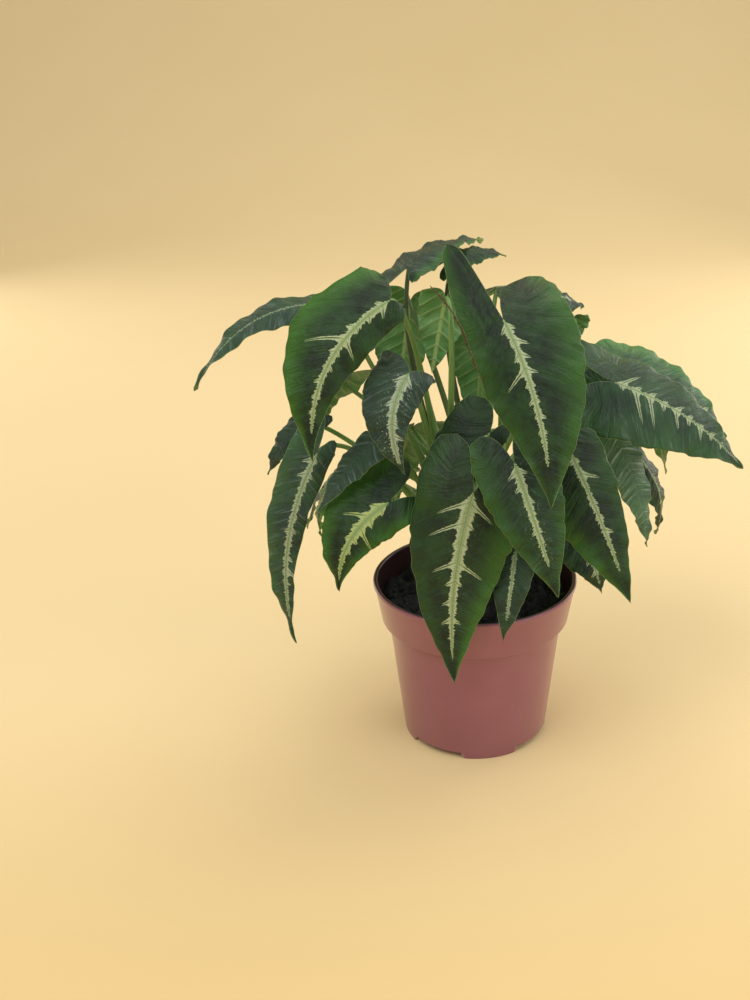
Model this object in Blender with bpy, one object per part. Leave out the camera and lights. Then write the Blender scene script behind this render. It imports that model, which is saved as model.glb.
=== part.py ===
"""Potted syngonium in a twelve-centimetre nursery pot.

Three young plants stand in one pot of compost. Each plant is a short stem with its long leaf stalks,
and every stalk carries one arrow-shaped leaf that arches outwards and hangs. The origin is on the
pot's axis, on the surface that the pot stands on, and the front of the plant looks towards -Y.
Sizes in the tables are millimetres, and MM turns them into metres.
"""

import math
from collections import namedtuple

import bpy
import numpy as np

MM = 0.001

# Pot: outside radii and heights
RIM_RADIUS = 60.0
POT_HEIGHT = 100.0
WALL = 1.2
FOOT_RADIUS = 42.9
FOOT_WIDTH = 2.4
FLOOR_HEIGHT = 4.6
COLLAR_BOTTOM = 75.5
COLLAR_RADIUS = 55.3
NECK_RADIUS = 51.4
LIP_HEIGHT = 2.6
NOTCH_HEIGHT = 4.0
FEET = 4
FOOT_CENTRE_DEG = -78.0
FOOT_HALF_DEG = 20.0
NOTCH_RAMP_DEG = 4.0
DRAIN_HOLES = 8
DRAIN_RADIUS = 3.6
DRAIN_CIRCLE = 33.0

# Soil
SOIL_HEIGHT = 85.0
SOIL_DOME = 2.5
SEAT_GAP = 0.3

# Stems and leaf stalks
STEM_RADIUS = 4.2
STEM_FOOT = 60.0
STALK_ROOT_RADIUS = 2.1
STALK_TIP_RADIUS = 1.1
STALK_SIDES = 5
STALK_STEPS = 8
BLADE_GAP = 0.35

# Leaf blades
BLADE_THICKNESS = 0.7
SINUS_SHARE = 0.25
LARGE_LEAF = 68.0
LARGE_GRID = (12, 3)
SMALL_GRID = (8, 2)

# Outline of half a blade: station, distance out as a share of the half width, and distance along as a
# share of the blade's length, or of the lobe's length behind the stalk
MARGIN_STATIONS = (0.0, 0.07, 0.17, 0.30, 0.47, 0.65, 0.82, 0.93, 1.0)
MARGIN_OUT = (0.56, 0.82, 0.99, 1.0, 0.90, 0.66, 0.33, 0.12, 0.0)
MARGIN_ALONG = (-1.0, -0.88, -0.42, 0.08, 0.31, 0.55, 0.78, 0.91, 1.0)
SINUS_STATIONS = (0.0, 0.08, 0.17, 0.25)
SINUS_OUT = (0.56, 0.30, 0.10, 0.0)
SINUS_ALONG = (-1.0, -0.86, -0.45, 0.0)

Leaf = namedtuple(
    "Leaf",
    "name plant base tip face width lobes splay arch sweep fold curl twist lobe_bend wave gape shoulder",
)


def leaf(name, plant, base, tip, face=(-90, 30), width=24, lobes=(24, 24), splay=(0, 0), arch=8, sweep=0,
         fold=-8, curl=-18, twist=0, lobe_bend=-4, wave=1.2, gape=1.0,
         shoulder=1.0):
    """One row of the leaf table.

    base and tip are the ends of the midrib, face is the compass angle and the lift of the way that the
    upper side looks, width is half the blade or a pair for its left and right halves, and lobes and
    splay give the left and the right lobe's length and how far they stand out. gape opens or closes
    the gap between the lobes, and shoulder narrows the blade beside the stalk, again as
    one number or a pair.
    """
    widths = np.broadcast_to(width, 2)
    shoulders = np.broadcast_to(shoulder, 2)
    return Leaf("leaf_" + name, plant, base, tip, face, widths, lobes, splay, arch, sweep, fold, curl,
                twist, lobe_bend, wave, gape, shoulders)


# Plants: place of each stem on the soil and its height above it
PLANTS = {
    "left": ((-15.0, -8.0), 34.0),
    "right": ((15.0, -9.0), 34.0),
    "back": ((0.0, 17.0), 36.0),
}

LEAVES = (
    leaf("upper_left", "left", (-43, -36, 276), (-83, -66, 199), face=(-78, 30), width=(34, 17),
         lobes=(6, 4), arch=9, sweep=-14, fold=-12, shoulder=0.6),
    leaf("far_left", "left", (-70, 0, 264), (-150, -25, 223), face=(-90, 68), width=(16, 12),
         lobes=(16, 16), arch=21),
    leaf("crest_left", "left", (-36, 8, 282), (5, 60, 285), face=(-90, 85), width=(11, 18), lobes=(4, 14),
         arch=6),
    leaf("crest_right", "back", (-12, 34, 281), (18, 46, 279), face=(-60, 70), width=10, lobes=(9, 9),
         arch=4, wave=0.7),
    leaf("front_large", "right", (14, -50, 270), (38, -92, 184), face=(-98, 25), width=(28, 35),
         lobes=(54, 20), splay=(-2, 2), arch=8, sweep=6, fold=-12, lobe_bend=-12, gape=0.6,
         shoulder=(0.66, 1.0)),
    leaf("front_centre", "right", (-1, -64, 181), (-11, -73, 71), face=(-95, 10), width=(31, 29),
         lobes=(24, 12), arch=4, sweep=-5, lobe_bend=-7),
    leaf("front_right", "right", (20, -69, 200), (43, -90, 133), face=(-85, 20), width=22, lobes=(18, 18),
         arch=6),
    leaf("low_right", "right", (50, -50, 198), (83, -72, 120), face=(-80, 20), width=(27, 19),
         lobes=(12, 10), arch=7),
    leaf("centre_small", "left", (-34, -42, 239), (-36, -62, 190), face=(-85, 20), width=(20, 13),
         lobes=(8, 5), splay=(6, 4), sweep=-8),
    leaf("left_hanging", "left", (-85, -30, 190), (-101, -42, 78), face=(-100, 10), width=(18, 9),
         lobes=(18, 8), sweep=-9),
    leaf("left_wrinkled", "left", (-52, -32, 199), (-84, -54, 164), face=(-100, 50), width=10, lobes=(8, 8),
         arch=5),
    leaf("left_low", "left", (-46, -52, 170), (-73, -62, 122), face=(-95, 25), width=(26, 16),
         lobes=(18, 12), sweep=-7),
    leaf("left_sliver", "left", (-79, 5, 159), (-89, 10, 118), face=(-160, 10), width=11, lobes=(10, 10)),
    leaf("over_rim", "right", (22, -52, 142), (15, -69, 95), face=(-90, 20), width=12, lobes=(10, 10)),
    leaf("behind_low_right", "right", (52, -12, 135), (73, -22, 99), face=(-60, 20), width=16,
         lobes=(12, 12)),
    leaf("right_twisted", "right", (78, 0, 190), (101, 5, 116), face=(-60, 10), width=13, lobes=(10, 10)),
    leaf("right_behind", "right", (97, 20, 166), (108, 22, 116), face=(-30, 10), width=12, lobes=(10, 10)),
    leaf("far_right", "right", (75, -12, 224), (148, -20, 176), face=(-80, 55), width=(31, 26), lobes=(16, 32),
         splay=(2, 7), arch=10, lobe_bend=3),
    leaf("far_right_back", "back", (85, 22, 222), (146, 22, 178), face=(-80, 60), width=(20, 26),
         lobes=(18, 18), arch=9),
    leaf("right_under", "right", (71, 20, 200), (112, 22, 166), face=(-80, 60), width=9, lobes=(8, 8)),
    leaf("upper_right", "back", (34, 18, 262), (62, 36, 252), face=(-60, 70), width=15, lobes=(12, 12), arch=4),
    leaf("upper_right_light", "back", (56, 31, 248), (54, 34, 229), face=(90, 20), width=9, lobes=(5, 5),
         arch=2),
    leaf("centre_dark", "left", (8, -37, 204), (-36, -41, 138), face=(-100, 15), width=(25, 10),
         lobes=(12, 8)),
    leaf("left_curled", "left", (-92, -6, 200), (-116, -10, 168), face=(-110, 30), width=9, lobes=(8, 8)),
    leaf("inner_left", "back", (-37, 45, 254), (-47, 49, 180), face=(90, 20), width=(17, 23),
         lobes=(10, 12)),
    leaf("inner_top", "left", (-16, 6, 266), (-24, 8, 222), face=(90, 30), width=15, lobes=(7, 7), arch=2),
    leaf("inner_right", "back", (5, 48, 238), (1, 56, 164), face=(90, 20), width=20, lobes=(9, 9)),
    leaf("back_left", "back", (-80, 42, 208), (-116, 62, 144), face=(140, 30), width=22, lobes=(18, 18)),
    leaf("back_right", "back", (46, 62, 228), (70, 92, 156), face=(60, 30), width=24, lobes=(18, 18)),
    leaf("back_centre", "back", (0, 58, 146), (3, 90, 84), face=(90, 20), width=20, lobes=(14, 14)),
    leaf("back_low_left", "back", (-54, 50, 146), (-76, 68, 90), face=(130, 20), width=18, lobes=(12, 12)),
    leaf("back_low_right", "back", (50, 50, 148), (70, 72, 88), face=(50, 20), width=18, lobes=(12, 12)),
    leaf("back_mid_left", "back", (-38, 68, 168), (-52, 92, 102), face=(115, 20), width=20, lobes=(14, 14)),
    leaf("back_mid_right", "back", (34, 72, 184), (42, 89, 108), face=(75, 20), width=18, lobes=(14, 14)),
    leaf("back_crest", "back", (12, 42, 262), (32, 84, 232), face=(80, 60), width=17, lobes=(9, 9)),
    leaf("left_mid_back", "back", (-66, 30, 166), (-102, 34, 114), face=(180, 35), width=15, lobes=(9, 9)),
    leaf("back_far_right", "back", (88, 56, 196), (120, 72, 134), face=(30, 30), width=19, lobes=(18, 18)),
    leaf("side_low_left", "back", (-62, 26, 138), (-86, 38, 84), face=(160, 20), width=16, lobes=(12, 12)),
    leaf("side_low_right", "right", (68, 18, 140), (88, 24, 88), face=(15, 20), width=15, lobes=(12, 12)),
)


def unit(vector):
    """The vector divided by its own length, along the last axis."""
    return vector / np.linalg.norm(vector, axis=-1, keepdims=True)


def smooth(stations, values, at):
    """Cubic Hermite curve through the values, with tangents from the neighbours on each side."""
    stations = np.asarray(stations, float)
    values = np.asarray(values, float)
    slope = np.gradient(values, stations)
    step = np.clip(np.searchsorted(stations, at, side="right") - 1, 0, len(stations) - 2)
    span = stations[step + 1] - stations[step]
    t = (at - stations[step]) / span
    return (
        values[step] * (2 * t**3 - 3 * t**2 + 1)
        + span * slope[step] * (t**3 - 2 * t**2 + t)
        + values[step + 1] * (3 * t**2 - 2 * t**3)
        + span * slope[step + 1] * (t**3 - t**2)
    )


def leaf_axes(row):
    """Chord from base to tip, its length, the facing direction square to it, and the side direction."""
    base = np.array(row.base, float)
    chord = np.array(row.tip, float) - base
    length = np.linalg.norm(chord)
    along = chord / length
    compass, lift = np.radians(row.face)
    facing = np.array([
        math.cos(compass) * math.cos(lift),
        math.sin(compass) * math.cos(lift),
        math.sin(lift),
    ])
    facing = unit(facing - facing.dot(along) * along)
    side = np.cross(facing, along)
    return base, along, length, facing, side


def blade_surface(row, hand, distance_out, distance_along, edge):
    """Place points of one half of the flat blade in space, and say which way the upper face looks there.

    The midrib is a parabola that arches off the chord, and runs straight on between the lobes. The
    blade folds along the midrib by one angle, curls more the further out a point lies, turns by the
    twist towards the tip, bends its lobes by the square of the distance behind the stalk, and waves
    at its edge.
    """
    base, along, length, facing, side = leaf_axes(row)
    which = 0 if hand < 0 else 1
    share = distance_along / length
    ahead = np.maximum(share, 0.0)
    behind = np.minimum(share, 0.0)
    rise = 4.0 * (ahead * (1.0 - ahead) + behind)
    slope = np.where(share > 0.0, 4.0 * (1.0 - 2.0 * ahead), 4.0)
    lobe_share = behind * length / row.lobes[which]
    spine = (
        base
        + along * distance_along[..., None]
        + facing * (row.arch * rise + row.lobe_bend * lobe_share**2)[..., None]
        + side * (row.sweep * rise)[..., None]
    )
    tangent = unit(
        along * length
        + facing * (row.arch * slope)[..., None]
        + side * (row.sweep * slope)[..., None]
    )
    turn = np.radians(row.twist) * ahead
    across = unit(side - (tangent @ side)[..., None] * tangent)
    upward = np.cross(tangent, across)
    across = across * np.cos(turn)[..., None] + upward * np.sin(turn)[..., None]
    upward = np.cross(tangent, across)
    out = distance_out + row.splay[which] * lobe_share**2
    bent = np.minimum(out / row.width[which], 1.3)
    tilt = np.radians(row.fold + 0.5 * row.curl * bent)
    lean = np.radians(row.fold + row.curl * bent) * np.minimum(bent / 0.15, 1.0)
    phase = 0.9 * row.tip[0] + 0.7 * row.tip[2] + hand
    wave = row.wave * edge**2 * np.sin(math.tau * 3.2 * share + phase)
    height = out * np.sin(tilt) + wave
    points = spine + across * (hand * out * np.cos(tilt))[..., None] + upward * height[..., None]
    looks = upward * np.cos(lean)[..., None] - across * (hand * np.sin(lean))[..., None]
    return points, looks


def half_blade(row, hand, stations, across):
    """One half of the flat blade, lofted from its inner edge and midrib to its outer margin."""
    length = leaf_axes(row)[2]
    which = 0 if hand < 0 else 1
    lobe = row.lobes[which]
    width = row.width[which]
    at = np.linspace(0.0, 1.0, stations + 1)
    in_lobe = np.minimum(at, SINUS_SHARE)
    on_midrib = np.maximum(at - SINUS_SHARE, 0.0) / (1.0 - SINUS_SHARE)
    sinus_out = np.array(SINUS_OUT) * (row.shoulder[which], row.gape, row.gape, 1.0)
    inner_out = width * smooth(SINUS_STATIONS, sinus_out, in_lobe)
    inner_along = lobe * smooth(SINUS_STATIONS, SINUS_ALONG, in_lobe) + length * on_midrib
    narrowed = row.shoulder[which] + (1.0 - row.shoulder[which]) * np.clip(at / 0.5, 0.0, 1.0) ** 1.5
    outer_out = width * narrowed * smooth(MARGIN_STATIONS, MARGIN_OUT, at)
    margin_along = smooth(MARGIN_STATIONS, MARGIN_ALONG, at)
    outer_along = lobe * np.minimum(margin_along, 0.0) + length * np.maximum(margin_along, 0.0)
    step = np.linspace(0.0, 1.0, across + 1)
    distance_out = inner_out[:, None] + (outer_out - inner_out)[:, None] * step
    distance_along = inner_along[:, None] + (outer_along - inner_along)[:, None] * step
    edge = np.broadcast_to(step, distance_out.shape)
    return blade_surface(row, hand, distance_out, distance_along, edge)


def blade_triangles(stations, across):
    """Vertex numbers of both halves, sharing the midrib and the tip, and the triangles between them."""
    first_shared = round(SINUS_SHARE * stations)
    count = (stations + 1) * (across + 1)
    number = np.arange(2 * count).reshape(2, stations + 1, across + 1)
    number[:, 0, :] = number[:, 0, :1]
    number[1, first_shared:, 0] = number[0, first_shared:, 0]
    number[:, stations, :] = number[0, stations, 0]
    triangles = []
    for half in range(2):
        grid = number[half]
        a, b, c, d = grid[:-1, :-1], grid[:-1, 1:], grid[1:, 1:], grid[1:, :-1]
        quads = np.stack([a, b, c, d], axis=-1).reshape(-1, 4)
        if half == 0:
            quads = quads[:, ::-1]
        for pick in ((0, 1, 2), (0, 2, 3)):
            triangles.append(quads[:, pick])
    triangles = np.concatenate(triangles)
    whole = (
        (triangles[:, 0] != triangles[:, 1])
        & (triangles[:, 1] != triangles[:, 2])
        & (triangles[:, 2] != triangles[:, 0])
    )
    return triangles[whole]


def thickened(top, bottom, triangles):
    """Closed sheet: the triangles above, the same ones below turned over, and a wall round the edge."""
    offset = len(top)
    sides = np.concatenate([triangles[:, [0, 1]], triangles[:, [1, 2]], triangles[:, [2, 0]]])
    forward = {tuple(pair) for pair in sides.tolist()}
    rim = np.array([pair for pair in sorted(forward) if (pair[1], pair[0]) not in forward])
    start, end = rim[:, 0], rim[:, 1]
    faces = np.concatenate([
        triangles,
        triangles[:, ::-1] + offset,
        np.stack([end, start, start + offset], axis=1),
        np.stack([end, start + offset, end + offset], axis=1),
    ])
    points = np.concatenate([top, bottom])
    used, faces = np.unique(faces, return_inverse=True)
    return points[used], faces.reshape(-1, 3)


def new_object(name, points, faces, material):
    """Make a Blender object from points in millimetres."""
    mesh = bpy.data.meshes.new(name)
    mesh.from_pydata((np.asarray(points) * MM).tolist(), [], [list(face) for face in faces])
    mesh.materials.append(material)
    mesh.shade_smooth()
    mesh.update()
    item = bpy.data.objects.new(name, mesh)
    bpy.context.scene.collection.objects.link(item)
    return item


def make_leaf(row, material):
    """One thin blade with its basal lobes."""
    stations, across = LARGE_GRID if leaf_axes(row)[2] > LARGE_LEAF else SMALL_GRID
    halves = [half_blade(row, hand, stations, across) for hand in (1.0, -1.0)]
    top = np.concatenate([points.reshape(-1, 3) for points, looks in halves])
    looks = np.concatenate([looks.reshape(-1, 3) for points, looks in halves])
    triangles = blade_triangles(stations, across)
    points, faces = thickened(top, top - looks * BLADE_THICKNESS, triangles)
    return new_object(row.name, points, faces, material)


def tube(path, radii, sides):
    """Points and faces of a round bar with closed ends, carried along a path without twisting."""
    path = np.asarray(path, float)
    tangent = unit(np.gradient(path, axis=0))
    across = unit(np.cross(tangent[0], (0.31, 0.92, 0.17)))
    angle = np.linspace(0.0, math.tau, sides, endpoint=False)
    rings = []
    for point, direction, radius in zip(path, tangent, radii):
        across = unit(across - across.dot(direction) * direction)
        other = np.cross(direction, across)
        rings.append(point + radius * (np.outer(np.cos(angle), across) + np.outer(np.sin(angle), other)))
    points = np.concatenate(rings)
    number = np.arange(len(points)).reshape(len(path), sides)
    right = np.roll(number, -1, axis=1)
    quads = np.stack([number[:-1], right[:-1], right[1:], number[1:]], axis=-1).reshape(-1, 4)
    faces = quads.tolist()
    faces.append(number[0, ::-1].tolist())
    faces.append(number[-1].tolist())
    return points, faces


def stalk_path(row):
    """Curve from the stem to just under the leaf's base: up the plant, then over and outwards."""
    base, along, length, facing, side = leaf_axes(row)
    heading = unit(along * length + facing * 4.0 * row.arch + side * 4.0 * row.sweep)
    looks = unit(facing - facing.dot(heading) * heading)
    (stem_x, stem_y), stem_height = PLANTS[row.plant]
    reach = base - np.array([stem_x, stem_y, SOIL_HEIGHT])
    start = np.array([stem_x, stem_y, SOIL_HEIGHT + stem_height * (0.35 + 0.5 * reach[2] / 200.0)])
    arrive = unit(0.55 * heading + 0.8 * looks)
    radius = STALK_TIP_RADIUS * math.sqrt(1.0 - arrive.dot(looks) ** 2)
    end = base - looks * (BLADE_THICKNESS + BLADE_GAP + radius)
    span = np.linalg.norm(end - start)
    first = start + np.array([0.12 * reach[0], 0.12 * reach[1], 0.45 * span])
    second = end - arrive * 0.3 * span
    t = np.linspace(0.0, 1.0, STALK_STEPS + 1)[:, None]
    return (
        start * (1 - t) ** 3
        + first * 3 * t * (1 - t) ** 2
        + second * 3 * t**2 * (1 - t)
        + end * t**3
    )


def united(name, pieces):
    """Fuse overlapping pieces into one body with a single Boolean union, and drop the loose pieces."""
    trunk = pieces[0]
    trunk.name = name
    others = bpy.data.collections.new(name + "_pieces")
    bpy.context.scene.collection.children.link(others)
    for piece in pieces[1:]:
        bpy.context.scene.collection.objects.unlink(piece)
        others.objects.link(piece)
    union = trunk.modifiers.new("union", "BOOLEAN")
    union.operation = "UNION"
    union.operand_type = "COLLECTION"
    union.collection = others
    union.solver = "MANIFOLD"
    bpy.context.view_layer.update()
    depsgraph = bpy.context.evaluated_depsgraph_get()
    mesh = bpy.data.meshes.new_from_object(trunk.evaluated_get(depsgraph))
    trunk.modifiers.clear()
    trunk.data = mesh
    mesh.name = name
    for piece in list(others.objects):
        bpy.data.objects.remove(piece)
    bpy.data.collections.remove(others)
    return trunk


def make_plant(plant, material):
    """A short stem with the stalks of its leaves sunk into it."""
    (stem_x, stem_y), height = PLANTS[plant]
    levels = np.array([STEM_FOOT, SOIL_HEIGHT, SOIL_HEIGHT + 0.5 * height, SOIL_HEIGHT + height])
    path = np.stack([np.full(4, stem_x), np.full(4, stem_y), levels], axis=1)
    points, faces = tube(path, [STEM_RADIUS, STEM_RADIUS, STEM_RADIUS, 0.75 * STEM_RADIUS], 8)
    pieces = [new_object("stem", points, faces, material)]
    for row in LEAVES:
        if row.plant == plant:
            path = stalk_path(row)
            radii = np.linspace(STALK_ROOT_RADIUS, STALK_TIP_RADIUS, len(path))
            points, faces = tube(path, radii, STALK_SIDES)
            pieces.append(new_object("stalk", points, faces, material))
    return united("stem_" + plant, pieces)


def foot_angles():
    """Angles round the pot, closer together at the ramps of each notch."""
    pitch = 360.0 / FEET
    rest = pitch - FOOT_HALF_DEG
    local = np.array([
        -FOOT_HALF_DEG,
        -FOOT_HALF_DEG / 2,
        0.0,
        FOOT_HALF_DEG / 2,
        FOOT_HALF_DEG,
        FOOT_HALF_DEG + NOTCH_RAMP_DEG,
    ])
    notch = np.linspace(FOOT_HALF_DEG + NOTCH_RAMP_DEG, rest - NOTCH_RAMP_DEG, 5)[1:]
    local = np.concatenate([local, notch])
    raised = (np.abs((local + FOOT_HALF_DEG) % pitch - FOOT_HALF_DEG) > FOOT_HALF_DEG + 0.5).astype(float)
    angles = np.concatenate([local + FOOT_CENTRE_DEG + pitch * quarter for quarter in range(FEET)])
    return np.radians(angles), np.tile(raised, FEET)


def lathe(name, profile, angles, material, lift=None):
    """Turn a profile whose first and last points lie on the axis; lift raises its lowest points."""
    profile = np.asarray(profile, float)
    radius = profile[1:-1, 0]
    height = profile[1:-1, 1]
    rings = np.stack([
        np.outer(radius, np.cos(angles)),
        np.outer(radius, np.sin(angles)),
        np.outer(height, np.ones_like(angles)),
    ], axis=-1)
    if lift is not None:
        rings[..., 2] = np.maximum(rings[..., 2], lift * NOTCH_HEIGHT)
    turns = len(angles)
    points = np.concatenate([rings.reshape(-1, 3), [[0, 0, profile[0, 1]], [0, 0, profile[-1, 1]]]])
    number = np.arange(len(radius) * turns).reshape(len(radius), turns)
    right = np.roll(number, -1, axis=1)
    quads = np.stack([number[:-1], right[:-1], right[1:], number[1:]], axis=-1).reshape(-1, 4)
    faces = quads.tolist()
    first, last = len(points) - 2, len(points) - 1
    faces += [[first, right[0, k], number[0, k]] for k in range(turns)]
    faces += [[last, number[-1, k], right[-1, k]] for k in range(turns)]
    return new_object(name, points, faces, material)


def make_pot(material):
    """Thin moulded pot: notched foot, tapered wall, stepped collar and rolled lip."""
    inner_foot = FOOT_RADIUS - FOOT_WIDTH
    lip_base = POT_HEIGHT - LIP_HEIGHT
    profile = (
        (0.0, FLOOR_HEIGHT),
        (inner_foot - 1.5, FLOOR_HEIGHT),
        (inner_foot, 0.0),
        (FOOT_RADIUS - 0.6, 0.0),
        (FOOT_RADIUS + 0.1, 1.0),
        (FOOT_RADIUS + 0.6, FLOOR_HEIGHT),
        (NECK_RADIUS, COLLAR_BOTTOM),
        (COLLAR_RADIUS, COLLAR_BOTTOM),
        (RIM_RADIUS - 1.7, lip_base),
        (RIM_RADIUS - 0.4, lip_base + 0.4),
        (RIM_RADIUS, POT_HEIGHT - 1.3),
        (RIM_RADIUS - 0.5, POT_HEIGHT - 0.3),
        (RIM_RADIUS - 1.4, POT_HEIGHT),
        (RIM_RADIUS - 2.4, POT_HEIGHT - 0.4),
        (RIM_RADIUS - 2.9, lip_base),
        (COLLAR_RADIUS - WALL, COLLAR_BOTTOM + WALL),
        (NECK_RADIUS - WALL, COLLAR_BOTTOM + WALL),
        (FOOT_RADIUS - WALL, FLOOR_HEIGHT + WALL),
        (0.0, FLOOR_HEIGHT + WALL),
    )
    angles, raised = foot_angles()
    pot = lathe("pot", profile, angles, material, lift=raised)
    cutters = bpy.data.collections.new("drain_cutters")
    bpy.context.scene.collection.children.link(cutters)
    for turn in range(DRAIN_HOLES):
        angle = math.tau * (turn + 0.5) / DRAIN_HOLES
        centre = np.array([DRAIN_CIRCLE * math.cos(angle), DRAIN_CIRCLE * math.sin(angle), 0.0])
        path = [centre + [0, 0, FLOOR_HEIGHT - 2.0], centre + [0, 0, FLOOR_HEIGHT + WALL + 2.0]]
        points, faces = tube(path, [DRAIN_RADIUS, DRAIN_RADIUS], 10)
        cutter = new_object("drain_cutter", points, faces, material)
        bpy.context.scene.collection.objects.unlink(cutter)
        cutters.objects.link(cutter)
    return cut(pot, cutters)


def cut(item, cutters):
    """Subtract every object of a collection, then drop the cutters."""
    difference = item.modifiers.new("cut", "BOOLEAN")
    difference.operation = "DIFFERENCE"
    difference.operand_type = "COLLECTION"
    difference.collection = cutters
    difference.solver = "EXACT"
    bpy.context.view_layer.update()
    depsgraph = bpy.context.evaluated_depsgraph_get()
    mesh = bpy.data.meshes.new_from_object(item.evaluated_get(depsgraph))
    item.modifiers.clear()
    item.data = mesh
    mesh.name = item.name
    for cutter in list(cutters.objects):
        bpy.data.objects.remove(cutter)
    bpy.data.collections.remove(cutters)
    return item


def make_soil(material):
    """Compost that fills the pot to below the lip, with a plain hole for each stem."""
    def wall_at(height):
        share = (height - FLOOR_HEIGHT) / (COLLAR_BOTTOM - FLOOR_HEIGHT)
        return FOOT_RADIUS + (NECK_RADIUS - FOOT_RADIUS) * share - WALL - SEAT_GAP

    floor = FLOOR_HEIGHT + WALL + SEAT_GAP
    step = COLLAR_BOTTOM + WALL + SEAT_GAP
    collar = COLLAR_RADIUS - WALL - SEAT_GAP
    flare = (RIM_RADIUS - COLLAR_RADIUS) / (POT_HEIGHT - COLLAR_BOTTOM)
    profile = (
        (0.0, floor),
        (wall_at(floor) - 0.4, floor),
        (wall_at(COLLAR_BOTTOM) - 0.4, step),
        (collar - 0.2, step),
        (collar - 0.2 + 0.6 * flare * (SOIL_HEIGHT - step), SOIL_HEIGHT - 1.5),
        (0.75 * collar, SOIL_HEIGHT),
        (0.4 * collar, SOIL_HEIGHT + 0.7 * SOIL_DOME),
        (0.0, SOIL_HEIGHT + SOIL_DOME),
    )
    angles = np.linspace(0.0, math.tau, 32, endpoint=False)
    soil = lathe("soil", profile, angles, material)
    cutters = bpy.data.collections.new("stem_cutters")
    bpy.context.scene.collection.children.link(cutters)
    for (stem_x, stem_y), height in PLANTS.values():
        path = [[stem_x, stem_y, STEM_FOOT - SEAT_GAP], [stem_x, stem_y, POT_HEIGHT]]
        points, faces = tube(path, [STEM_RADIUS + SEAT_GAP] * 2, 12)
        cutter = new_object("stem_cutter", points, faces, material)
        bpy.context.scene.collection.objects.unlink(cutter)
        cutters.objects.link(cutter)
    return cut(soil, cutters)


def material(name, colour, roughness):
    """Plain Principled material with the part's colour."""
    made = bpy.data.materials.new(name)
    made.use_nodes = True
    shader = made.node_tree.nodes["Principled BSDF"]
    shader.inputs["Base Color"].default_value = (*colour, 1.0)
    shader.inputs["Roughness"].default_value = roughness
    shader.inputs["Metallic"].default_value = 0.0
    made.diffuse_color = (*colour, 1.0)
    return made


def main():
    for item in list(bpy.data.objects):
        bpy.data.objects.remove(item)
    make_pot(material("pot_plastic", (0.27, 0.11, 0.095), 0.42))
    make_soil(material("compost", (0.018, 0.012, 0.009), 0.95))
    stalk_green = material("stalk_green", (0.16, 0.30, 0.06), 0.45)
    for plant in PLANTS:
        make_plant(plant, stalk_green)
    leaf_green = material("leaf_green", (0.02, 0.08, 0.015), 0.4)
    for row in LEAVES:
        make_leaf(row, leaf_green)


main()
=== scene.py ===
"""Looks of the potted syngonium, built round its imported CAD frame.

The leaves, stalks, pot and compost of the frame are rebuilt as fine surfaces of the same form, with
veins, silver markings, grooves, sheaths and crumbs. Sizes in the tables are millimetres, MM turns them
into metres, +Z is up and the camera looks along +Y.
"""

import math
from collections import namedtuple

import bpy
import numpy as np
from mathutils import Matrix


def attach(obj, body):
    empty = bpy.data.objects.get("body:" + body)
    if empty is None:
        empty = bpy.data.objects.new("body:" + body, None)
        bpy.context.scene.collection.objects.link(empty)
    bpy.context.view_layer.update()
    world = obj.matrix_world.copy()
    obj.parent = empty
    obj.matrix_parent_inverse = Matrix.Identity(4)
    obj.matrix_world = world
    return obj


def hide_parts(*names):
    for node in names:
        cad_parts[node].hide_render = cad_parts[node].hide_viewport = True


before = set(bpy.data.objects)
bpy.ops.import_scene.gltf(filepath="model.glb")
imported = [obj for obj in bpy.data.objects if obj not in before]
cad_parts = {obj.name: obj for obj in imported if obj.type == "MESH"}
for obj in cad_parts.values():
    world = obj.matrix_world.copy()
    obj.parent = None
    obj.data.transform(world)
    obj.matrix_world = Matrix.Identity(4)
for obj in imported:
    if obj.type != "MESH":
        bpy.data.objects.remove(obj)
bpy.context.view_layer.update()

MM = 0.001

# Pot and compost
RIM_RADIUS = 60.0
POT_HEIGHT = 100.0
WALL = 1.2
FOOT_RADIUS = 42.9
FOOT_WIDTH = 2.4
FLOOR_HEIGHT = 4.6
COLLAR_BOTTOM = 75.5
COLLAR_RADIUS = 55.3
NECK_RADIUS = 51.4
LIP_HEIGHT = 2.6
NOTCH_HEIGHT = 4.0
FEET = 4
FOOT_CENTRE_DEG = -78.0
FOOT_HALF_DEG = 20.0
NOTCH_RAMP_DEG = 4.0
SOIL_HEIGHT = 85.0
SOIL_DOME = 2.5
SOIL_WAVES = (23.0, 11.0, 6.3, 3.7)

# Stems and leaf stalks
STEM_RADIUS = 4.2
STEM_FOOT = 60.0
STALK_ROOT_RADIUS = 2.1
STALK_TIP_RADIUS = 1.1

DULL_STALKS = {"leaf_crest_left": 0.6, "leaf_crest_right": 0.55, "leaf_inner_left": 0.7}

DRY_SHEATH = ((13.5, -12.5, 214), (0, -18, 228), (-2, -28, 262), (-23, -28, 281))

# Leaf blades
BLADE_THICKNESS = 0.7
BLADE_GAP = 0.35
RIM_THICKNESS = 0.35
SINUS_SHARE = 0.25
LARGE_LEAF = 68.0
LARGE_GRID = (84, 26)
SMALL_GRID = (56, 16)
MARGIN_STATIONS = (0.0, 0.07, 0.17, 0.30, 0.47, 0.65, 0.82, 0.93, 1.0)
MARGIN_OUT = (0.56, 0.82, 0.99, 1.0, 0.90, 0.66, 0.33, 0.12, 0.0)
MARGIN_ALONG = (-1.0, -0.88, -0.42, 0.08, 0.31, 0.55, 0.78, 0.91, 1.0)
SINUS_STATIONS = (0.0, 0.08, 0.17, 0.25)
SINUS_OUT = (0.56, 0.30, 0.10, 0.0)
SINUS_ALONG = (-1.0, -0.86, -0.45, 0.0)

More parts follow.
